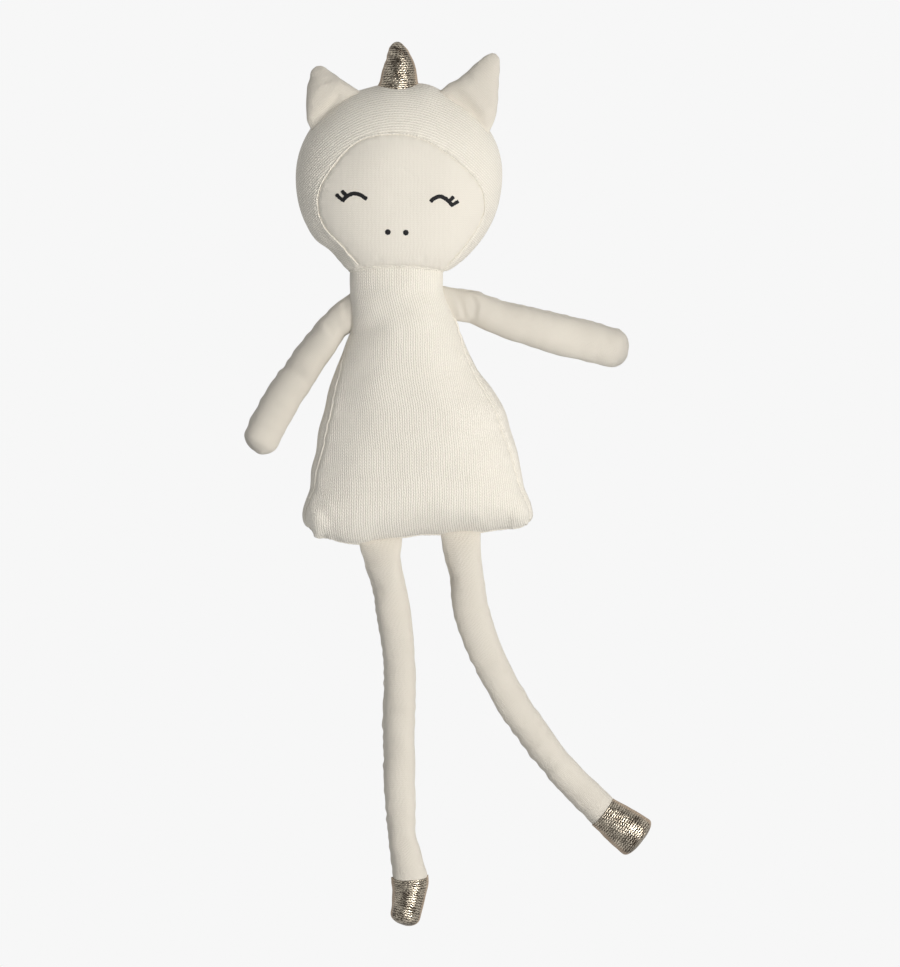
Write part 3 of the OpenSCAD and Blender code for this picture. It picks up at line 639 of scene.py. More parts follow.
body = make_body()
front_last = FRONT_COLS * K
split = nearest(body[:, front_last // 2, 1], COLLAR_Y)
front = body[split:, :front_last + 1]
back = np.concatenate([body[split:, front_last:], body[split:, :1]], 1)
neck = body[:split + 1]
whole = grid_knit(body, middle=front_last // 2)
back_knit = grid_knit(back, False, middle=back.shape[1] // 2, turn=40)
back_knit[..., 1] += whole[split, 0, 1]
body_n = normals(body)
back_n = np.concatenate([body_n[split:, front_last:], body_n[split:, :1]], 1)
body_front = skin("body_front_soft", front, COARSE, "body_front_panel", whole[split:, :front_last + 1],
                  wrap=False, n=body_n[split:, :front_last + 1])
body_back = skin("body_back_soft", back, COARSE, "body_back_panel", back_knit,
                 wrap=False, n=back_n)
for piece in (body_front, body_back):
    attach(piece, "torso")
neck_cover = skin("neck_cover_soft", neck, COARSE, "neck_cover", whole[:split + 1],
                  n=body_n[:split + 1])
# The middle of the neck, and the level of the seam between it and the chin
NECK_X, CHIN_Y = -29, 115.9
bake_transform(neck_cover)
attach(filling("body_stuffing", body[split + 1:-5 * K], K), "torso")
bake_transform(filling("neck_stuffing", neck[1:], K))

for name, column, radius in (("right_side_seam", 0, 0.62), ("left_side_seam", front_last, 0.52)):
    line = body[split + 2 * K:-K, column] + body_n[split + 2 * K:-K, column] * 0.05
    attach(ridge(name, line, 0.45, (radius, 0.1, 2.2, 0.08, 21), RIDGE), "torso")
hem_line = body[-1, :front_last + 1] - np.array([0, 0, 0.7])
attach(ridge("hem_seam", hem_line, 0.5, (0.6, 0.1, 2.6, 0.12, 22), RIDGE), "torso")


# ---- limbs: distance from the seam, x, y, z, half width, half thickness ----

LEFT_ARM = [
    [-4, -51.6, 98, 31, 9.6, 3.2], [0, -54.6, 94.6, 31, 9.2, 4], [8.3, -60.6, 88.5, 29.5, 8.4, 5.6],
    [17, -65.9, 81.8, 27, 8.4, 7.6], [36, -77, 67.2, 21.5, 8.9, 9.3], [63, -92, 45.2, 14.5, 9.6, 10.2],
    [84, -101.4, 26.5, 10.9, 9.3, 10], [96, -106.4, 15.6, 10.8, 9.1, 10]]
RIGHT_ARM = [
    [-4, -3, 99.6, 31, 9.4, 3.2], [0, 0.8, 98.5, 31, 9.4, 4], [9.7, 10, 96.5, 29.6, 8.6, 5.6],
    [18, 17.8, 93.8, 28, 8.9, 7.4], [27.4, 26.6, 90.4, 25.6, 9.4, 8.7], [52.7, 51, 83.6, 19, 10.1, 10],
    [78, 75.6, 77.6, 12.5, 10.9, 10.3], [89.4, 86.5, 74.5, 11, 10.4, 10.1], [102, 98.5, 71.0, 11, 9.9, 10.1]]
LEFT_LEG = [
    [-4, -38.8, -29.2, 20, 12, 3.4], [0, -38.3, -33, 20, 12, 4.4], [8, -36.4, -41, 19, 10.9, 5.4],
    [20, -33.2, -53, 17, 9.3, 7], [40, -30.8, -73, 13.5, 8.9, 8.5], [60, -28.6, -93, 10.5, 8.3, 9],
    [80, -28, -113, 9.6, 8.1, 9], [110, -28.3, -143, 9.5, 7.9, 9], [140, -27, -173, 9.5, 8.1, 9],
    [160, -25.4, -193, 9.5, 7.8, 9], [172, -23.4, -205, 9.5, 8.6, 9], [182, -21.8, -215, 9.5, 9.6, 9]]
LEFT_HOOF = [
    [180.6, -22, -213.6, 9.6, 9.8, 9.2], [184, -21.8, -217, 9.7, 9.8, 9.3], [189, -22, -222, 9.8, 9, 9.4],
    [197, -23.2, -230, 9.8, 8.3, 9.3], [206, -25.2, -238.4, 9.7, 7.6, 9],
    [208.4, -25.8, -240.8, 9.6, 7.4, 8.8]]
RIGHT_LEG = [
    [-4, 5.2, -23.6, 20, 10.9, 3.4], [0, 5.6, -27.5, 20, 10.9, 4.4], [8.5, 6.9, -36, 19, 10.4, 5.4],
    [20, 9.1, -47.3, 17, 10, 7], [42, 12.6, -69, 13.2, 10.3, 8.5], [65, 20, -91, 10.2, 9.8, 9],
    [89, 30.6, -112.1, 9.6, 9.4, 9], [115, 44.6, -133.4, 9.5, 9, 9], [143, 61.4, -155.5, 9.5, 8.8, 9],
    [160, 72.8, -168.1, 9.5, 8.7, 9], [176, 83.8, -179.4, 9.5, 8.7, 8.9]]
RIGHT_HOOF = [
    [174.6, 82.8, -178.6, 9.6, 8.9, 9.2], [178, 85.4, -180.6, 9.6, 9.2, 9.3],
    [184, 90.2, -184.2, 9.8, 10, 9.4], [192, 96.7, -189, 9.8, 10.9, 9.3],
    [199, 102.3, -193.2, 9.8, 11.4, 9], [203, 105.4, -195.5, 9.8, 11.4, 8.8]]
LIMB_COLS = 24
LIMB_POWER = 0.92
ROOT_RINGS = 8


def spine(line, s):
    """Middle, unit way along and the half sizes of a limb at s."""
    row = curve(line, s)
    t = curve(line, np.asarray(s) + 0.5)[..., :2] - curve(line, np.asarray(s) - 0.5)[..., :2]
    t /= np.linalg.norm(t, axis=-1, keepdims=True)
    return row[..., :3], t, row[..., 3], row[..., 4]


def limb_grid(line, s, end=None, blunt=8.0):
    """Rings along a limb. With end, they round off to a blunt tip there."""
    squeeze = np.ones_like(s)
    if end is not None:
        squeeze = np.sqrt(np.maximum(1 - share((s - (end - blunt)) / blunt) ** 2.6, 0.0))
    mid, t, w, h = spine(line, s)
    a = np.linspace(-90, 270, LIMB_COLS, endpoint=False) * math.pi / 180
    ca, sa = squarer(np.cos(a), LIMB_POWER), squarer(np.sin(a), LIMB_POWER)
    side = np.stack([-t[:, 1], t[:, 0], 0 * t[:, 0]], -1)
    g = mid[:, None] + side[:, None] * (w * squeeze)[:, None, None] * ca[None, :, None]
    g[..., 2] += (h * squeeze)[:, None] * sa[None]
    return g


def root_rings(ends, thick, line, s0):
    """Rings from a flat sewn end, between two points, up to just before the limb's ring at s0."""
    a = np.radians(np.linspace(-90, 270, LIMB_COLS, endpoint=False))
    ca, sa = squarer(np.cos(a), LIMB_POWER), squarer(np.sin(a), LIMB_POWER)
    last, after = limb_grid(line, np.array([s0, s0 + 1.0]))
    p, q = np.array(ends, float)
    if (p - q) @ (last[LIMB_COLS // 4] - last[3 * LIMB_COLS // 4])[:2] < 0:
        p, q = q, p
    flat = (p + q) / 2 + ca[:, None] * (p - q) / 2
    first = np.column_stack([flat, curve(line, np.array([0.0]))[0, 2] + thick * sa])
    v = np.linspace(0, 1, ROOT_RINGS + 1)[:-1, None, None]
    reach = np.linalg.norm(last - first, axis=1)[:, None]
    return between(v, first, last - first, last, (after - last) * reach)


def limb(label, line, s0, s1, seed, step=2.8, end=None, blunt=8.0, root=None, folds=(), seam_side=1,
         puckers=0.22):
    """A settled limb cover as a fine grid, with the distance of each row. root is its sewn end."""
    count = max(6, int((s1 - s0) / step))
    s = np.linspace(s0, s1, count)
    if end is not None:
        s = np.concatenate([np.linspace(s0, end - blunt, count), end - blunt + blunt
                            * np.sin(np.radians(np.array([15, 30, 44, 56, 67, 76, 83, 87.5])))])
    g = limb_grid(line, s, end, blunt)
    if root is not None:
        g = np.concatenate([root_rings(*root, line, s0), g])
        s = np.concatenate([np.linspace(0, s0, ROOT_RINGS + 1)[:-1], s])
    seam = LIMB_COLS // 4 if seam_side > 0 else 3 * LIMB_COLS // 4
    g = finer(settle(label, g, pinned(g, 2, 1, [seam]), 0.02, 2.0, 1.4))
    s = np.interp(np.arange(len(g)) / K, np.arange(len(s)), s)
    n = normals(g)
    d, along = to_line(g, g[::K, seam * K])
    fade = share((s - s[0] - 2) / 8)[:, None]
    if end is not None:
        fade = fade * share((end - s) / 6)[:, None]
    move = fade * (0.2 * lumps(g, 17, seed) + 0.3 * lumps(g, 42, seed + 1)
                   + 0.16 * gathers(s, 9, seed + 3)[:, None] * (0.6 + 0.4 * lumps(g, 30, seed + 4))
                   + puckers * gathers(along, 6.5, seed + 2) * bell(d, 3.2)
                   + 0.3 * bell(d, 0.9) - 0.2 * bell(d - 2, 1.2))
    g = creased(g + n * move[..., None], folds)
    g[..., 2] = np.maximum(g[..., 2], 0.15)
    return g, s


def dipped(g, line, s, deep):
    """Draws the front of a tube towards the toe near s, so that the seam there sags in the middle."""
    mid, t, _, h = (v[0] for v in spine(line, np.array([float(s)])))
    along = (g[..., :2] - mid[:2]) @ t
    front = share((g[..., 2] - mid[2]) / h)
    g = g.copy()
    g[..., :2] += (deep * front * bell(along, 7))[..., None] * t
    return g


def sleeve(node, whole, rows, also=(), tip=False):
    """One piece of a limb's cover: these rows of the whole grid, of its cloth and of its normals."""
    g, knit, n = (part[rows] for part in whole)
    return skin(node + "_soft", g, FINE, [*also, node], knit, closed=(False, tip), n=n)


def blend_along(piece, line, s):
    mid, t, _, _ = spine(line, np.array([float(s)]))
    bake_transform(piece)


def make_arm(side, line, end, ends, seed, seam_side, folds):
    start = 15.5
    g, s = limb(side + "_arm", line, start, end, seed, end=end, blunt=10, folds=folds,
                root=(ends, 5.0), seam_side=seam_side)
    cut = ROOT_RINGS * K
    whole = (g, grid_knit(g), normals(g))
    root = sleeve(side + "_arm_root", whole, slice(0, cut + 1), [side + "_arm_tab"])
    blend_along(root, line, start)
    cover = sleeve(side + "_arm_cover", whole, slice(cut, None), tip=True)
    for piece in (cover, filling(side + "_arm_stuffing", g[cut + 2 * K:-3])):
        blend_along(piece, line, start)


make_arm("left", LEFT_ARM, end=94.2, ends=((-52, 105.4), (-52, 84.5)), seed=31, seam_side=-1, folds=(
    ([(-58, 100), (-56, 88)], 1.6, 0.3), ([(-68, 88), (-63, 80)], 1.8, 0.35),
    ([(-84, 62), (-76, 57)], 2.2, 0.2)))
make_arm("right", RIGHT_ARM, end=100.2, ends=((-5.4, 107.8), (1.8, 88.6)), seed=41, seam_side=1, folds=(
    ([(1, 106), (6, 98), (8, 89)], 1.3, 0.5), ([(10, 105), (14, 97), (13, 88)], 1.5, 0.5),
    ([(42, 96), (45, 88)], 2.0, 0.3), ([(55, 93), (56, 84)], 1.6, 0.3), ([(84, 84), (87, 74)], 2.2, 0.3)))


def make_leg(side, line, hoof_line, ends, knee, seam, hoof_end, blunt, sag, seed, folds):
    start, reach = 16.0, 18.0
    g, s = limb(side + "_leg", line, start, seam, seed, folds=folds, root=(ends, 3.2), seam_side=-1)
    g = dipped(g, line, seam, sag)
    first, cut = ROOT_RINGS * K, nearest(s, knee - reach)
    whole = (g, grid_knit(g), normals(g))
    root = sleeve(side + "_leg_root", whole, slice(0, first + 1), [side + "_leg_tab"])
    blend_along(root, line, start)
    upper = sleeve(side + "_upper_leg_cover", whole, slice(first, cut + 1))
    lower = sleeve(side + "_lower_leg_cover", whole, slice(cut, None))
    upper_fill = filling(side + "_upper_leg_stuffing", g[first + 2 * K:cut])
    lower_fill = filling(side + "_lower_leg_stuffing", g[cut:-1])
    for piece in (upper, upper_fill):
        blend_along(piece, line, start)
    for piece in (lower, lower_fill):
        blend_along(piece, line, knee)
    h, _ = limb(side + "_hoof", hoof_line, seam - 1.2, hoof_end, seed + 9, step=2.0, end=hoof_end,
                blunt=blunt, puckers=0.12, seam_side=-1)
    h = dipped(h + normals(h) * 0.35, line, seam, sag)
    h[..., 2] = np.maximum(h[..., 2], 0.1)
    hoof = skin(side + "_hoof_cover_soft", h, GOLD, side + "_hoof_cover", side_reflection_knit(h),
                closed=(False, True))
    for piece in (hoof, filling(side + "_hoof_stuffing", h[2:-3])):
        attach(piece, side + "_shin")


make_leg("left", LEFT_LEG, LEFT_HOOF, ends=((-50.6, -29), (-26.2, -28)), knee=92, seam=182,
         hoof_end=207.6, blunt=5.5, sag=2.4, seed=51, folds=(
    ([(-42, -56), (-36, -60)], 2.0, 0.2), ([(-37, -120), (-30, -124)], 2.2, 0.2)))
make_leg("right", RIGHT_LEG, RIGHT_HOOF, ends=((-5.8, -24), (16.6, -23.6)), knee=98, seam=176,
         hoof_end=201.6, blunt=4.5, sag=1.2, seed=61, folds=(
    ([(34, -98), (28, -101)], 1.8, 0.4), ([(57, -131), (52, -136)], 1.8, 0.45),
    ([(70, -146), (66, -150)], 1.6, 0.4)))


# ---- head ----

HEAD = np.array([-28.0, 167.0, 35.0])
HALF_W, UP, DOWN, DEEP = 55.7, 49.8, 58.8, 35.0
FACE = (-27.0, 150.0)
# The face seam, anticlockwise from the right
FACE_SEAM = [(18.9, 149), (17.1, 159.8), (9.3, 170.4), (-1.9, 179.8), (-17.5, 188), (-32.3, 189.3),
             (-49.6, 185.8), (-63.5, 172.8), (-72.1, 155), (-69.5, 141.6), (-58.3, 128.6), (-49.6, 118.2),
             (-43, 111), (-27, 107), (-9, 111), (-1.9, 117.4), (11.1, 132)]
HEAD_COLS, FACE_ROWS, HOOD_ROWS, BACK_ROWS = 88, 15, 8, 16


def seam_radius(u):
    p = np.array(FACE_SEAM) - FACE
    a = np.arctan2(p[:, 1], p[:, 0])
    order = np.argsort(a)
    a, r = a[order], np.linalg.norm(p, axis=1)[order]
    a = np.concatenate([a[-3:] - 2 * math.pi, a, a[:3] + 2 * math.pi])
    r = np.concatenate([r[-3:], r, r[:3]])
    return curve(np.stack([a, r], 1), (u + math.pi) % (2 * math.pi) - math.pi)[..., 0]


def head_points(phi, psi):
    tall = np.where(np.sin(phi) > 0, UP, DOWN)
    x, y, z = HALF_W * np.cos(phi) * np.cos(psi), tall * np.sin(phi) * np.cos(psi), DEEP * np.sin(psi)
    rise = 3.0 * share(1 - ((x + 1) / 25) ** 2) * (z > 0)
    room = HEAD[1] - 115.6 - rise
    pull = np.where(-y > room, room / np.maximum(-y, 1e-9), 1)
    pull = np.where(-y > room, 1 + (pull - 1) * 0.96, 1)
    return HEAD + np.stack([x * (0.35 + 0.65 * pull), y * pull, z * (0.35 + 0.65 * pull)], -1)


def make_head():
    u = np.linspace(0, 2 * math.pi, HEAD_COLS, endpoint=False)
    r = seam_radius(u)
    q = np.stack([(FACE[0] + r * np.cos(u) - HEAD[0]) / HALF_W, FACE[1] + r * np.sin(u) - HEAD[1]], -1)
    q[:, 1] /= np.where(q[:, 1] > 0, UP, DOWN)
    phi, far = np.arctan2(q[:, 1], q[:, 0]), np.linalg.norm(q, axis=1)
    edge = np.arccos(np.clip(far, 0, math.cos(math.radians(7))))
    rows = []
    for t in np.linspace(0.03, 1, FACE_ROWS + 1):
        rows.append(math.pi / 2 + (edge - math.pi / 2) * t)
    for t in np.linspace(0, 1, HOOD_ROWS + 1)[1:]:
        rows.append(edge * (1 - t))
    for t in np.linspace(0, 0.97, BACK_ROWS + 1)[1:]:
        rows.append(np.full(HEAD_COLS, -math.pi / 2 * t))
    psi = np.array(rows)
    g = head_points(np.repeat(phi[None], len(psi), 0), psi)
    held = pinned(g, 3, 2)
    held[FACE_ROWS] = True
    held |= g[..., 1] < 119.5
    g = finer(settle("head", g, held, 0.012, 2.0, 0.8, calm=5))
    n = normals(g)
    seam = g[FACE_ROWS * K]
    closed = np.concatenate([seam[::2], seam[:1]])
    d, s = to_line(g, closed)
    inside = (np.arange(len(g)) < FACE_ROWS * K)[:, None]
    free = share((g[..., 1] - 118) / 8)
    move = np.where(inside, -0.55 * bell(d, 2.0), 0.35 * bell(d - 1.6, 1.6)
                    - 0.35 * bell(d, 0.8))
    move = move + 0.14 * gathers(s, 6.5, 71) * bell(d, 5) * free
    move += 0.55 * lumps(g, 46, 72) * free
    # It swells beside the horn's root
    move += 1.3 * spot(g, -12, 214, 7.746, 7.746) - 0.7 * spot(g, -43, 211, 7.746, 7.746)
    # The hood is lumpier low on the left, and drawn in there
    uneven = spot(g, -68, 130, 13, 13) * 1.1 * lumps(g, 12, 73) - 3.4 * spot(g, -67, 124, 10, 8.5)
    move += uneven * np.where(inside, 0, share(d / 4))
    g = g + n * (move * share((g[..., 1] - 114) / 5))[..., None]
    g = creased(g, (
        ([(-52, 120), (-58, 121), (-63, 125)], 1.8, 0.7), ([(-54, 116), (-60, 119), (-66, 127)], 1.6, 0.5),
        ([(-40, 118.5), (-38, 123)], 1.8, 0.35), ([(-14, 118.5), (-15, 123)], 1.8, 0.35)))
    g[..., 2] = np.maximum(g[..., 2], 0.1)
    return g


head = make_head()
cut_face, cut_hood = FACE_ROWS * K, (FACE_ROWS + HOOD_ROWS) * K


HEAD_TURN = 90


def head_knit(g, arch):
    """Ribs that run up the head, and round its side at an even width. With arch, they cross it in arcs."""
    g = np.concatenate([g, g[:, :1]], 1)
    e = g - HEAD
    u = HALF_W * np.arcsin(np.clip(e[..., 0] / (HALF_W + 3), -1, 1))
    v = UP * np.arcsin(np.clip(e[..., 1] / (DOWN + 3), -1, 1))
    if arch is not None:
        u, v = v + arch * e[..., 0] ** 2, u
    return np.stack([u, v, np.full_like(u, HEAD_TURN)], -1) * MM


HOOD_ARCH = 0.009
head_n = normals(head)
for name, part, cloth, node, closed, arch in (
        ("face_panel_soft", slice(0, cut_face + 1), FACE_FINE, "face_panel", (True, False), None),
        ("hood_panel_soft", slice(cut_face, cut_hood + 1), COARSE, "hood_panel", (False, False), HOOD_ARCH),
        ("head_back_soft", slice(cut_hood, None), COARSE, "head_back_panel", (False, True), HOOD_ARCH)):
    piece = skin(name, head[part], cloth, node, head_knit(head[part], arch), closed=closed,
                 n=head_n[part])
    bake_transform(piece)
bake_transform(filling("head_stuffing", head[::2], offset=1.8))

seam = head[cut_face] + head_n[cut_face] * 0.18
order = np.argsort((np.arctan2(seam[:, 1] - FACE[1], seam[:, 0] - FACE[0]) + math.pi / 2) % (2 * math.pi))
seam = seam[order]
seam = seam[seam[:, 1] > 118.2]
face_seam = ridge("face_seam", seam, 0.35, (0.45, 0.3, 1.9, 0.12, 81), RIDGE, 0.25)
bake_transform(face_seam)

# The gathered seam between chin and neck
ring = neck[max(1, nearest(neck[:, 0, 1], CHIN_Y + 0.7))]
loop = np.concatenate([ring, ring[:1]])
rise = 2.2 * share(1 - ((loop[:, 0] - NECK_X) / 25) ** 2) * (loop[:, 2] > 35)
loop = np.stack([loop[:, 0], CHIN_Y + rise, loop[:, 2]], -1)
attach(ridge("neck_seam", loop, 0.7, (1.0, 0.1, 2.4, 0.2, 82), COARSE), "neck")

# ---- embroidery ----

face_faces = []
rows, cols = head[:cut_face + 1].shape[:2]
for i in range(rows - 1):
    for j in range(cols):
        a, b = i * cols + j, i * cols + (j + 1) % cols
        face_faces.append((a, b, b + cols, a + cols))
face_tree = BVHTree.FromPolygons([Vector(p) for p in head[:cut_face + 1].reshape(-1, 3)], face_faces)

# The face stands nearer the camera than the plane the outlines were taken in
NEARER = 0.996
# Width of one embroidery thread
THREAD = 0.42


def on_face(p):
    hit = face_tree.ray_cast(Vector((NEARER * p[0], NEARER * p[1], 200.0)), Vector((0, 0, -1)))
    return np.array(hit[0]), np.array(hit[1] if hit[1].z > 0 else -hit[1])


def satin(line, width, seed):
    """A grid for a raised band of satin stitches along a line on the face."""
    rng = np.random.default_rng(seed)
    p = np.array(line, float)
    x = np.linspace(0, 1, len(p))
    fine = np.linspace(0, 1, 400)
    p = curve(np.column_stack([x, p]), fine)
    s = lengths(p)
    at = np.linspace(0, s[-1], int(s[-1] / 0.09))
    p = np.stack([np.interp(at, s, p[:, k]) for k in range(2)], -1)
    t = np.gradient(p, axis=0)
    t /= np.linalg.norm(t, axis=1, keepdims=True)
    side = np.stack([-t[:, 1], t[:, 0]], -1)
    thread = np.floor(at / THREAD).astype(int)
    jag = rng.uniform(-0.16, 0.16, (thread.max() + 1, 2))
    bulge = np.abs(np.sin(math.pi * at / THREAD)) ** 0.6
    end = share(np.minimum(at, at[-1] - at) / 0.5) ** 0.5
    out = []
    for f in np.linspace(-1, 1, 9):
        half = width / 2 * (0.72 + 0.28 * end) + jag[thread, 0 if f < 0 else 1]
        crown = 0.62 * math.sqrt(max(0.0, 1 - abs(f) ** 2.4))
        lift = crown * (0.72 + 0.28 * bulge) * (0.35 + 0.65 * end) - 0.12
        q = p + side * (half * f)[:, None]
        column = []
        for (a, b), h in zip(q, lift):
            hit, n = on_face((a, b))
            column.append(hit + n * h)
        out.append(column)
    return np.array(out).transpose(1, 0, 2)


def join(objects, name):
    for o in bpy.context.scene.objects:
        o.select_set(o in objects)
    bpy.context.view_layer.objects.active = objects[0]
    bpy.ops.object.join()
    objects[0].name = name
    objects[0].select_set(False)
    return objects[0]


EYES = {
    "left": [[(-45.1, 154.5), (-48, 156.4), (-51, 157.6), (-53.8, 157.3), (-56.6, 155.6), (-58.6, 153.4)],
             [(-57.9, 153.7), (-60, 155.4), (-62, 157.4)], [(-56, 155.8), (-57.4, 157.6), (-59, 159.2)]],
    "right": [[(-10.7, 153.1), (-8.4, 155.1), (-5.8, 156.0), (-3, 155.2), (-0.2, 153), (1.6, 150.7)],
              [(0.9, 151.2), (2.8, 152.4), (4.7, 153.5)], [(-0.6, 153.6), (0.8, 154.8), (2.2, 155.9)]]}
for side, lines in EYES.items():
    made = []
    for i, line in enumerate(lines):
        g = satin(line, 2.35 if i == 0 else 2.2, 91 + i)
        made.append(skin(f"{side}_eye_{i}", g, FLOSS, None, wrap=False, thick=0.25))
    eye = join(made, f"{side}_eye_soft")
    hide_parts(f"{side}_eye_stitching")
    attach(eye, "head")
NOSTRIL = 1.62
for side, x, y in (("left", -33.8, 136.7), ("right", -24.0, 136.4)):
    rings = []
    for f in np.linspace(0.04, 1, 9):
        ring = []
        for k in range(36):
            a = 2 * math.pi * k / 36
            r = NOSTRIL * f * (1 + 0.05 * math.sin(7 * a + 1) * f)
            hit, n = on_face((x + r * math.cos(a), y + r * math.sin(a)))
            stitch = 0.12 * abs(math.sin(math.pi * r * math.cos(a) / THREAD))
            ring.append(hit + n * (0.6 * math.sqrt(max(0, 1 - f**2.2)) + stitch - 0.15))
        rings.append(ring)
    piece = skin(f"{side}_nostril_soft", np.array(rings), FLOSS, f"{side}_nostril_stitching", thick=0.2,
                 closed=(True, False))
    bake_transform(piece)

# ---- ears ----

EARS = {
    "left": (
        [(-73.9, 187.8), (-77.6, 197), (-78.0, 205), (-77.9, 210), (-77.6, 214), (-77.2, 217), (-76.6, 219.8),
         (-75.9, 222.8), (-74.6, 225.1), (-72.6, 226.7)],
        [(-42.9, 208.8), (-50, 213.8), (-55, 216.9), (-58.0, 219.1), (-60.0, 220.5), (-61.7, 221.7),
         (-63.6, 223.1), (-66.0, 224.8), (-68.3, 226.3), (-70.4, 227.0)],
        [([(-75, 197), (-68, 201), (-62, 209)], 2.4, 0.7), ([(-60, 212), (-63, 206)], 2.0, 0.5),
         ([(-68, 221), (-66, 213)], 3.0, 0.4)], 47, (-0.610, 0.792)),
    "right": (
        [(-10.6, 209.0), (-2.4, 215.9), (4, 219.9), (7.4, 222.3), (10, 224.6), (12.4, 226.8), (15, 229),
         (18.2, 231.4), (20.8, 233.1), (22.9, 233.9)],
        [(18.8, 185.6), (24, 196.5), (25.7, 204), (26.2, 209.5), (26.6, 214.5), (26.9, 219), (27.1, 223.5),
         (27.2, 227.6), (26.6, 231.2), (25.0, 233.4)],
        [([(0, 215), (8, 208), (17, 196)], 3.0, 0.9), ([(7, 221), (15, 213), (24, 205)], 3.6, 0.6),
         ([(15, 227), (19, 220)], 3.0, 0.3)], 49, (0.632, 0.775))}
# Half thickness at each point of an ear's edge, and the height of the ears' middle at the root
EAR_HALF = [3.4, 4.6, 5.3, 5.0, 4.5, 3.9, 3.2, 2.4, 1.5, 0.6]
EAR_Z = 41.5


def make_ear(side, west, east, folds, seed, out):
    """west and east are the ear's edges from root to tip, and out points away from the head."""
    half_cols = 14
    t = np.concatenate([np.linspace(0, 6, 24), np.linspace(6, 9, 11)[1:]])
    index = np.arange(10.0)
    w = curve(np.column_stack([index, west]), t)
    e = curve(np.column_stack([index, east]), t)
    a = np.radians(np.linspace(0, 360, 2 * half_cols, endpoint=False))
    f = squarer(np.cos(a), 0.85)
    mid, across = (w + e) / 2, (w - e) / 2
    thick = curve(np.column_stack([index, EAR_HALF]), t)[:, 0]
    xy = mid[:, None] + across[:, None] * f[None, :, None]
    # The root follows the round of the head
    bow = (1 - f**2)[None] * share(1 - t / 4)[:, None]
    xy = xy + np.array(out) * (bow * 4.4)[..., None]
    z = EAR_Z - 0.6 * t[:, None] + thick[:, None] * squarer(np.sin(a), 0.8)
    g = np.concatenate([xy, z[..., None]], -1)
    g = finer(settle(side + "_ear", g, pinned(g, 2, 5, (0, half_cols)), 0.02, 2.0, 1.0))
    n = normals(g)
    move = 0.2 * lumps(g, 17, seed)
    mid_col = half_cols * K
    for c in (0, mid_col):
        d, s = to_line(g, g[::K, c])
        move += 0.12 * gathers(s, 7, seed + c) * bell(d, 3)
    d, s = to_line(g, np.concatenate([g[2, ::2], g[2, :1]]))
    move -= 0.3 * bell(d, 2.5)
    calm = share(np.linspace(len(g) / K, 0, len(g)) / 5 - 0.4)[:, None]
    g = creased(g + n * (move * calm)[..., None], folds)
    knit = grid_knit(g, middle=mid_col // 2, turn=20 + seed)
    halves = (("front", g[:, :mid_col + 1], knit[:, :mid_col + 1]),
              ("back", np.concatenate([g[:, mid_col:], g[:, :1]], 1), knit[:, mid_col:]))
    for name, part, part_knit in halves:
        piece = skin(f"{side}_ear_{name}_soft", part, FINE, f"{side}_ear_{name}", part_knit, wrap=False,
                     thick=0.7)
        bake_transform(piece)
    stuffing = filling(side + "_ear_stuffing", g[3 * K:-6 * K], offset=1.1)
    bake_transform(stuffing)


for side, values in EARS.items():
    make_ear(side, *values)

# ---- horn ----

# Distance from the root, x, y, radius
HORN = [[0, -28.25, 213.4, 11.0], [3, -28.2, 216.4, 10.9], [6.2, -28.0, 219.4, 10.2],
        [11.5, -27.75, 224.8, 9.3], [17, -27.8, 230.2, 7.6], [22, -28.4, 235.7, 5.2],
        [24.6, -28.6, 238.2, 3.3], [26, -28.6, 239.6, 1.6], [26.5, -28.6, 240.1, 0.35]]
HORN_Z = 37
t = np.concatenate([np.linspace(0, 22, 16), [23.4, 24.6, 25.4, 26, 26.35]])
row = curve(HORN, t)
a = np.radians(np.linspace(-90, 270, 36, endpoint=False))
lean = share(1 - t / 20) * 0.11
g = np.stack([row[:, :1] + row[:, 2:3] * np.cos(a), row[:, 1:2] + (lean * row[:, 2])[:, None] * np.cos(a),
              HORN_Z + row[:, 2:3] * np.sin(a)], -1)
g = finer(settle("horn", g, pinned(g, 2, 3, [9]), 0.01, 1.0, 0.5, calm=5))
calm = share((239 - g[..., 1]) / 4)
g = g + normals(g) * (calm * (0.16 * lumps(g, 9, 95) + 0.1 * lumps(g, 3.2, 96)))[..., None]
horn = skin("horn_cover_soft", g, GOLD, "horn_cover", side_reflection_knit(g), closed=(False, True))
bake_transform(horn)
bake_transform(filling("horn_stuffing", g[4:-6]))

# ---- floor, light and camera ----

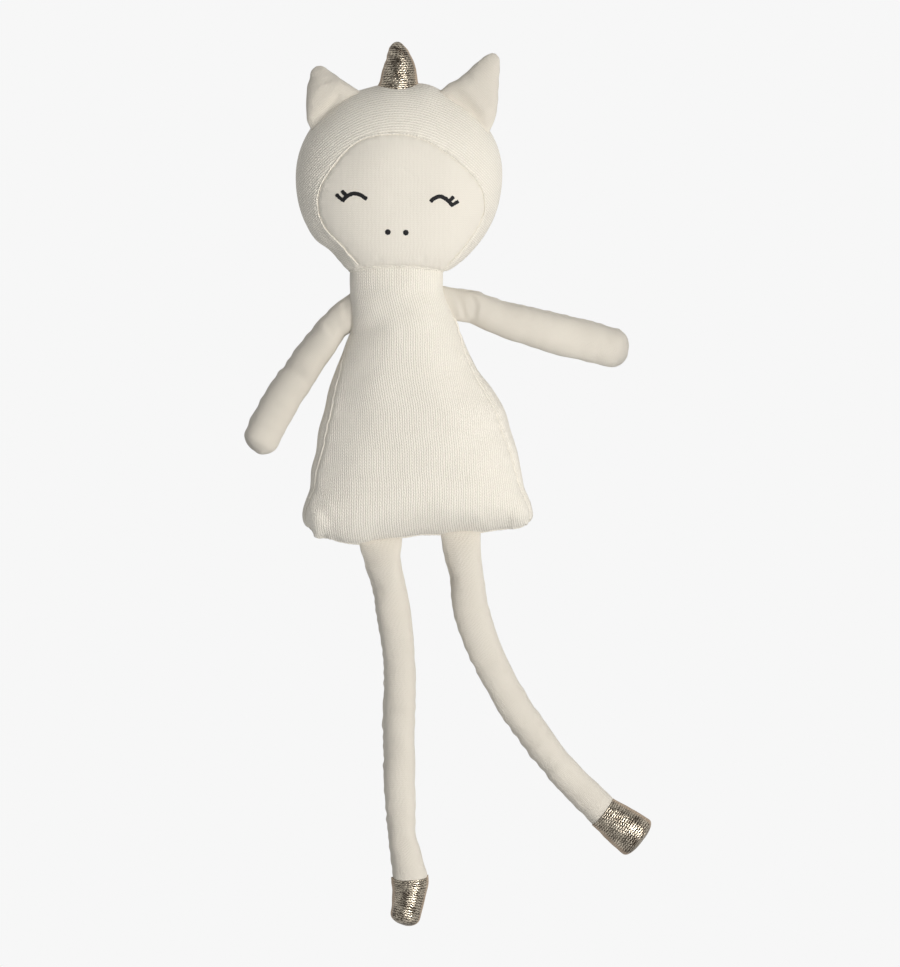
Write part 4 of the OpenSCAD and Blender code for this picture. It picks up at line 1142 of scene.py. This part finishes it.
def emitter(name, colour, seen, lit):
    m = bpy.data.materials.new(name)
    m.use_nodes = True
    t = m.node_tree
    t.nodes.clear()
    path = t.nodes.new("ShaderNodeLightPath")
    e, out = t.nodes.new("ShaderNodeEmission"), t.nodes.new("ShaderNodeOutputMaterial")
    e.inputs["Color"].default_value = (*colour, 1)
    strength = t.nodes.new("ShaderNodeMath")
    strength.operation = "MULTIPLY_ADD"
    t.links.new(path.outputs["Is Camera Ray"], strength.inputs[0])
    strength.inputs[1].default_value = seen - lit
    strength.inputs[2].default_value = lit
    t.links.new(strength.outputs[0], e.inputs["Strength"])
    t.links.new(e.outputs[0], out.inputs["Surface"])
    return m


me = bpy.data.meshes.new("floor")
me.from_pydata([(-4, -4, -0.0006), (4, -4, -0.0006), (4, 4, -0.0006), (-4, 4, -0.0006)], [], [(0, 1, 2, 3)])
me.materials.append(emitter("floor_pale", (1, 1, 1), 0.93, 0.50))
floor = placed("floor", me)


def lamp(name, place, size, watts, colour):
    """A round lamp that points at the middle of the table."""
    data = bpy.data.lights.new(name, "AREA")
    data.shape = "DISK"
    data.size, data.energy, data.color = size, watts, colour
    ob = placed(name, data)
    ob.location = place
    ob.rotation_euler = (-Vector(place)).to_track_quat("-Z", "Y").to_euler()


lamp("key", (1.15, -0.15, 1.65), 0.8, 20.5, (1, 0.985, 0.965))
lamp("glint", (0.75, 0.7, 1.7), 0.5, 6.6, (1, 0.99, 0.97))
lamp("fill", (0.35, -0.8, 2.0), 1.6, 12, (0.98, 0.99, 1))
world = bpy.data.worlds.new("studio")
bpy.context.scene.world = world
world.use_nodes = True
t = world.node_tree
coord = t.nodes.new("ShaderNodeTexCoord")
split_xyz = t.nodes.new("ShaderNodeSeparateXYZ")
ramp = t.nodes.new("ShaderNodeMapRange")
t.links.new(coord.outputs["Generated"], split_xyz.inputs[0])
t.links.new(split_xyz.outputs["Z"], ramp.inputs["Value"])
for key, value in (("From Min", 0.1), ("From Max", 0.95), ("To Min", 0.60), ("To Max", 0.09)):
    ramp.inputs[key].default_value = value
background = t.nodes["Background"]
background.inputs["Color"].default_value = (0.97, 0.985, 1, 1)
t.links.new(ramp.outputs[0], background.inputs["Strength"])

view = bpy.context.scene.view_settings
view.view_transform = "Standard"
view.look = "None"
cam = bpy.data.cameras.new("camera")
distance, tall = 9.0, 0.5257
cam.sensor_width = 36
cam.lens = 36 * distance / tall
cam.clip_end = 20
camera = placed("camera", cam)
camera.location = (SHIFT[0] * MM, SHIFT[1] * MM, distance + 0.03)
bpy.context.scene.camera = camera
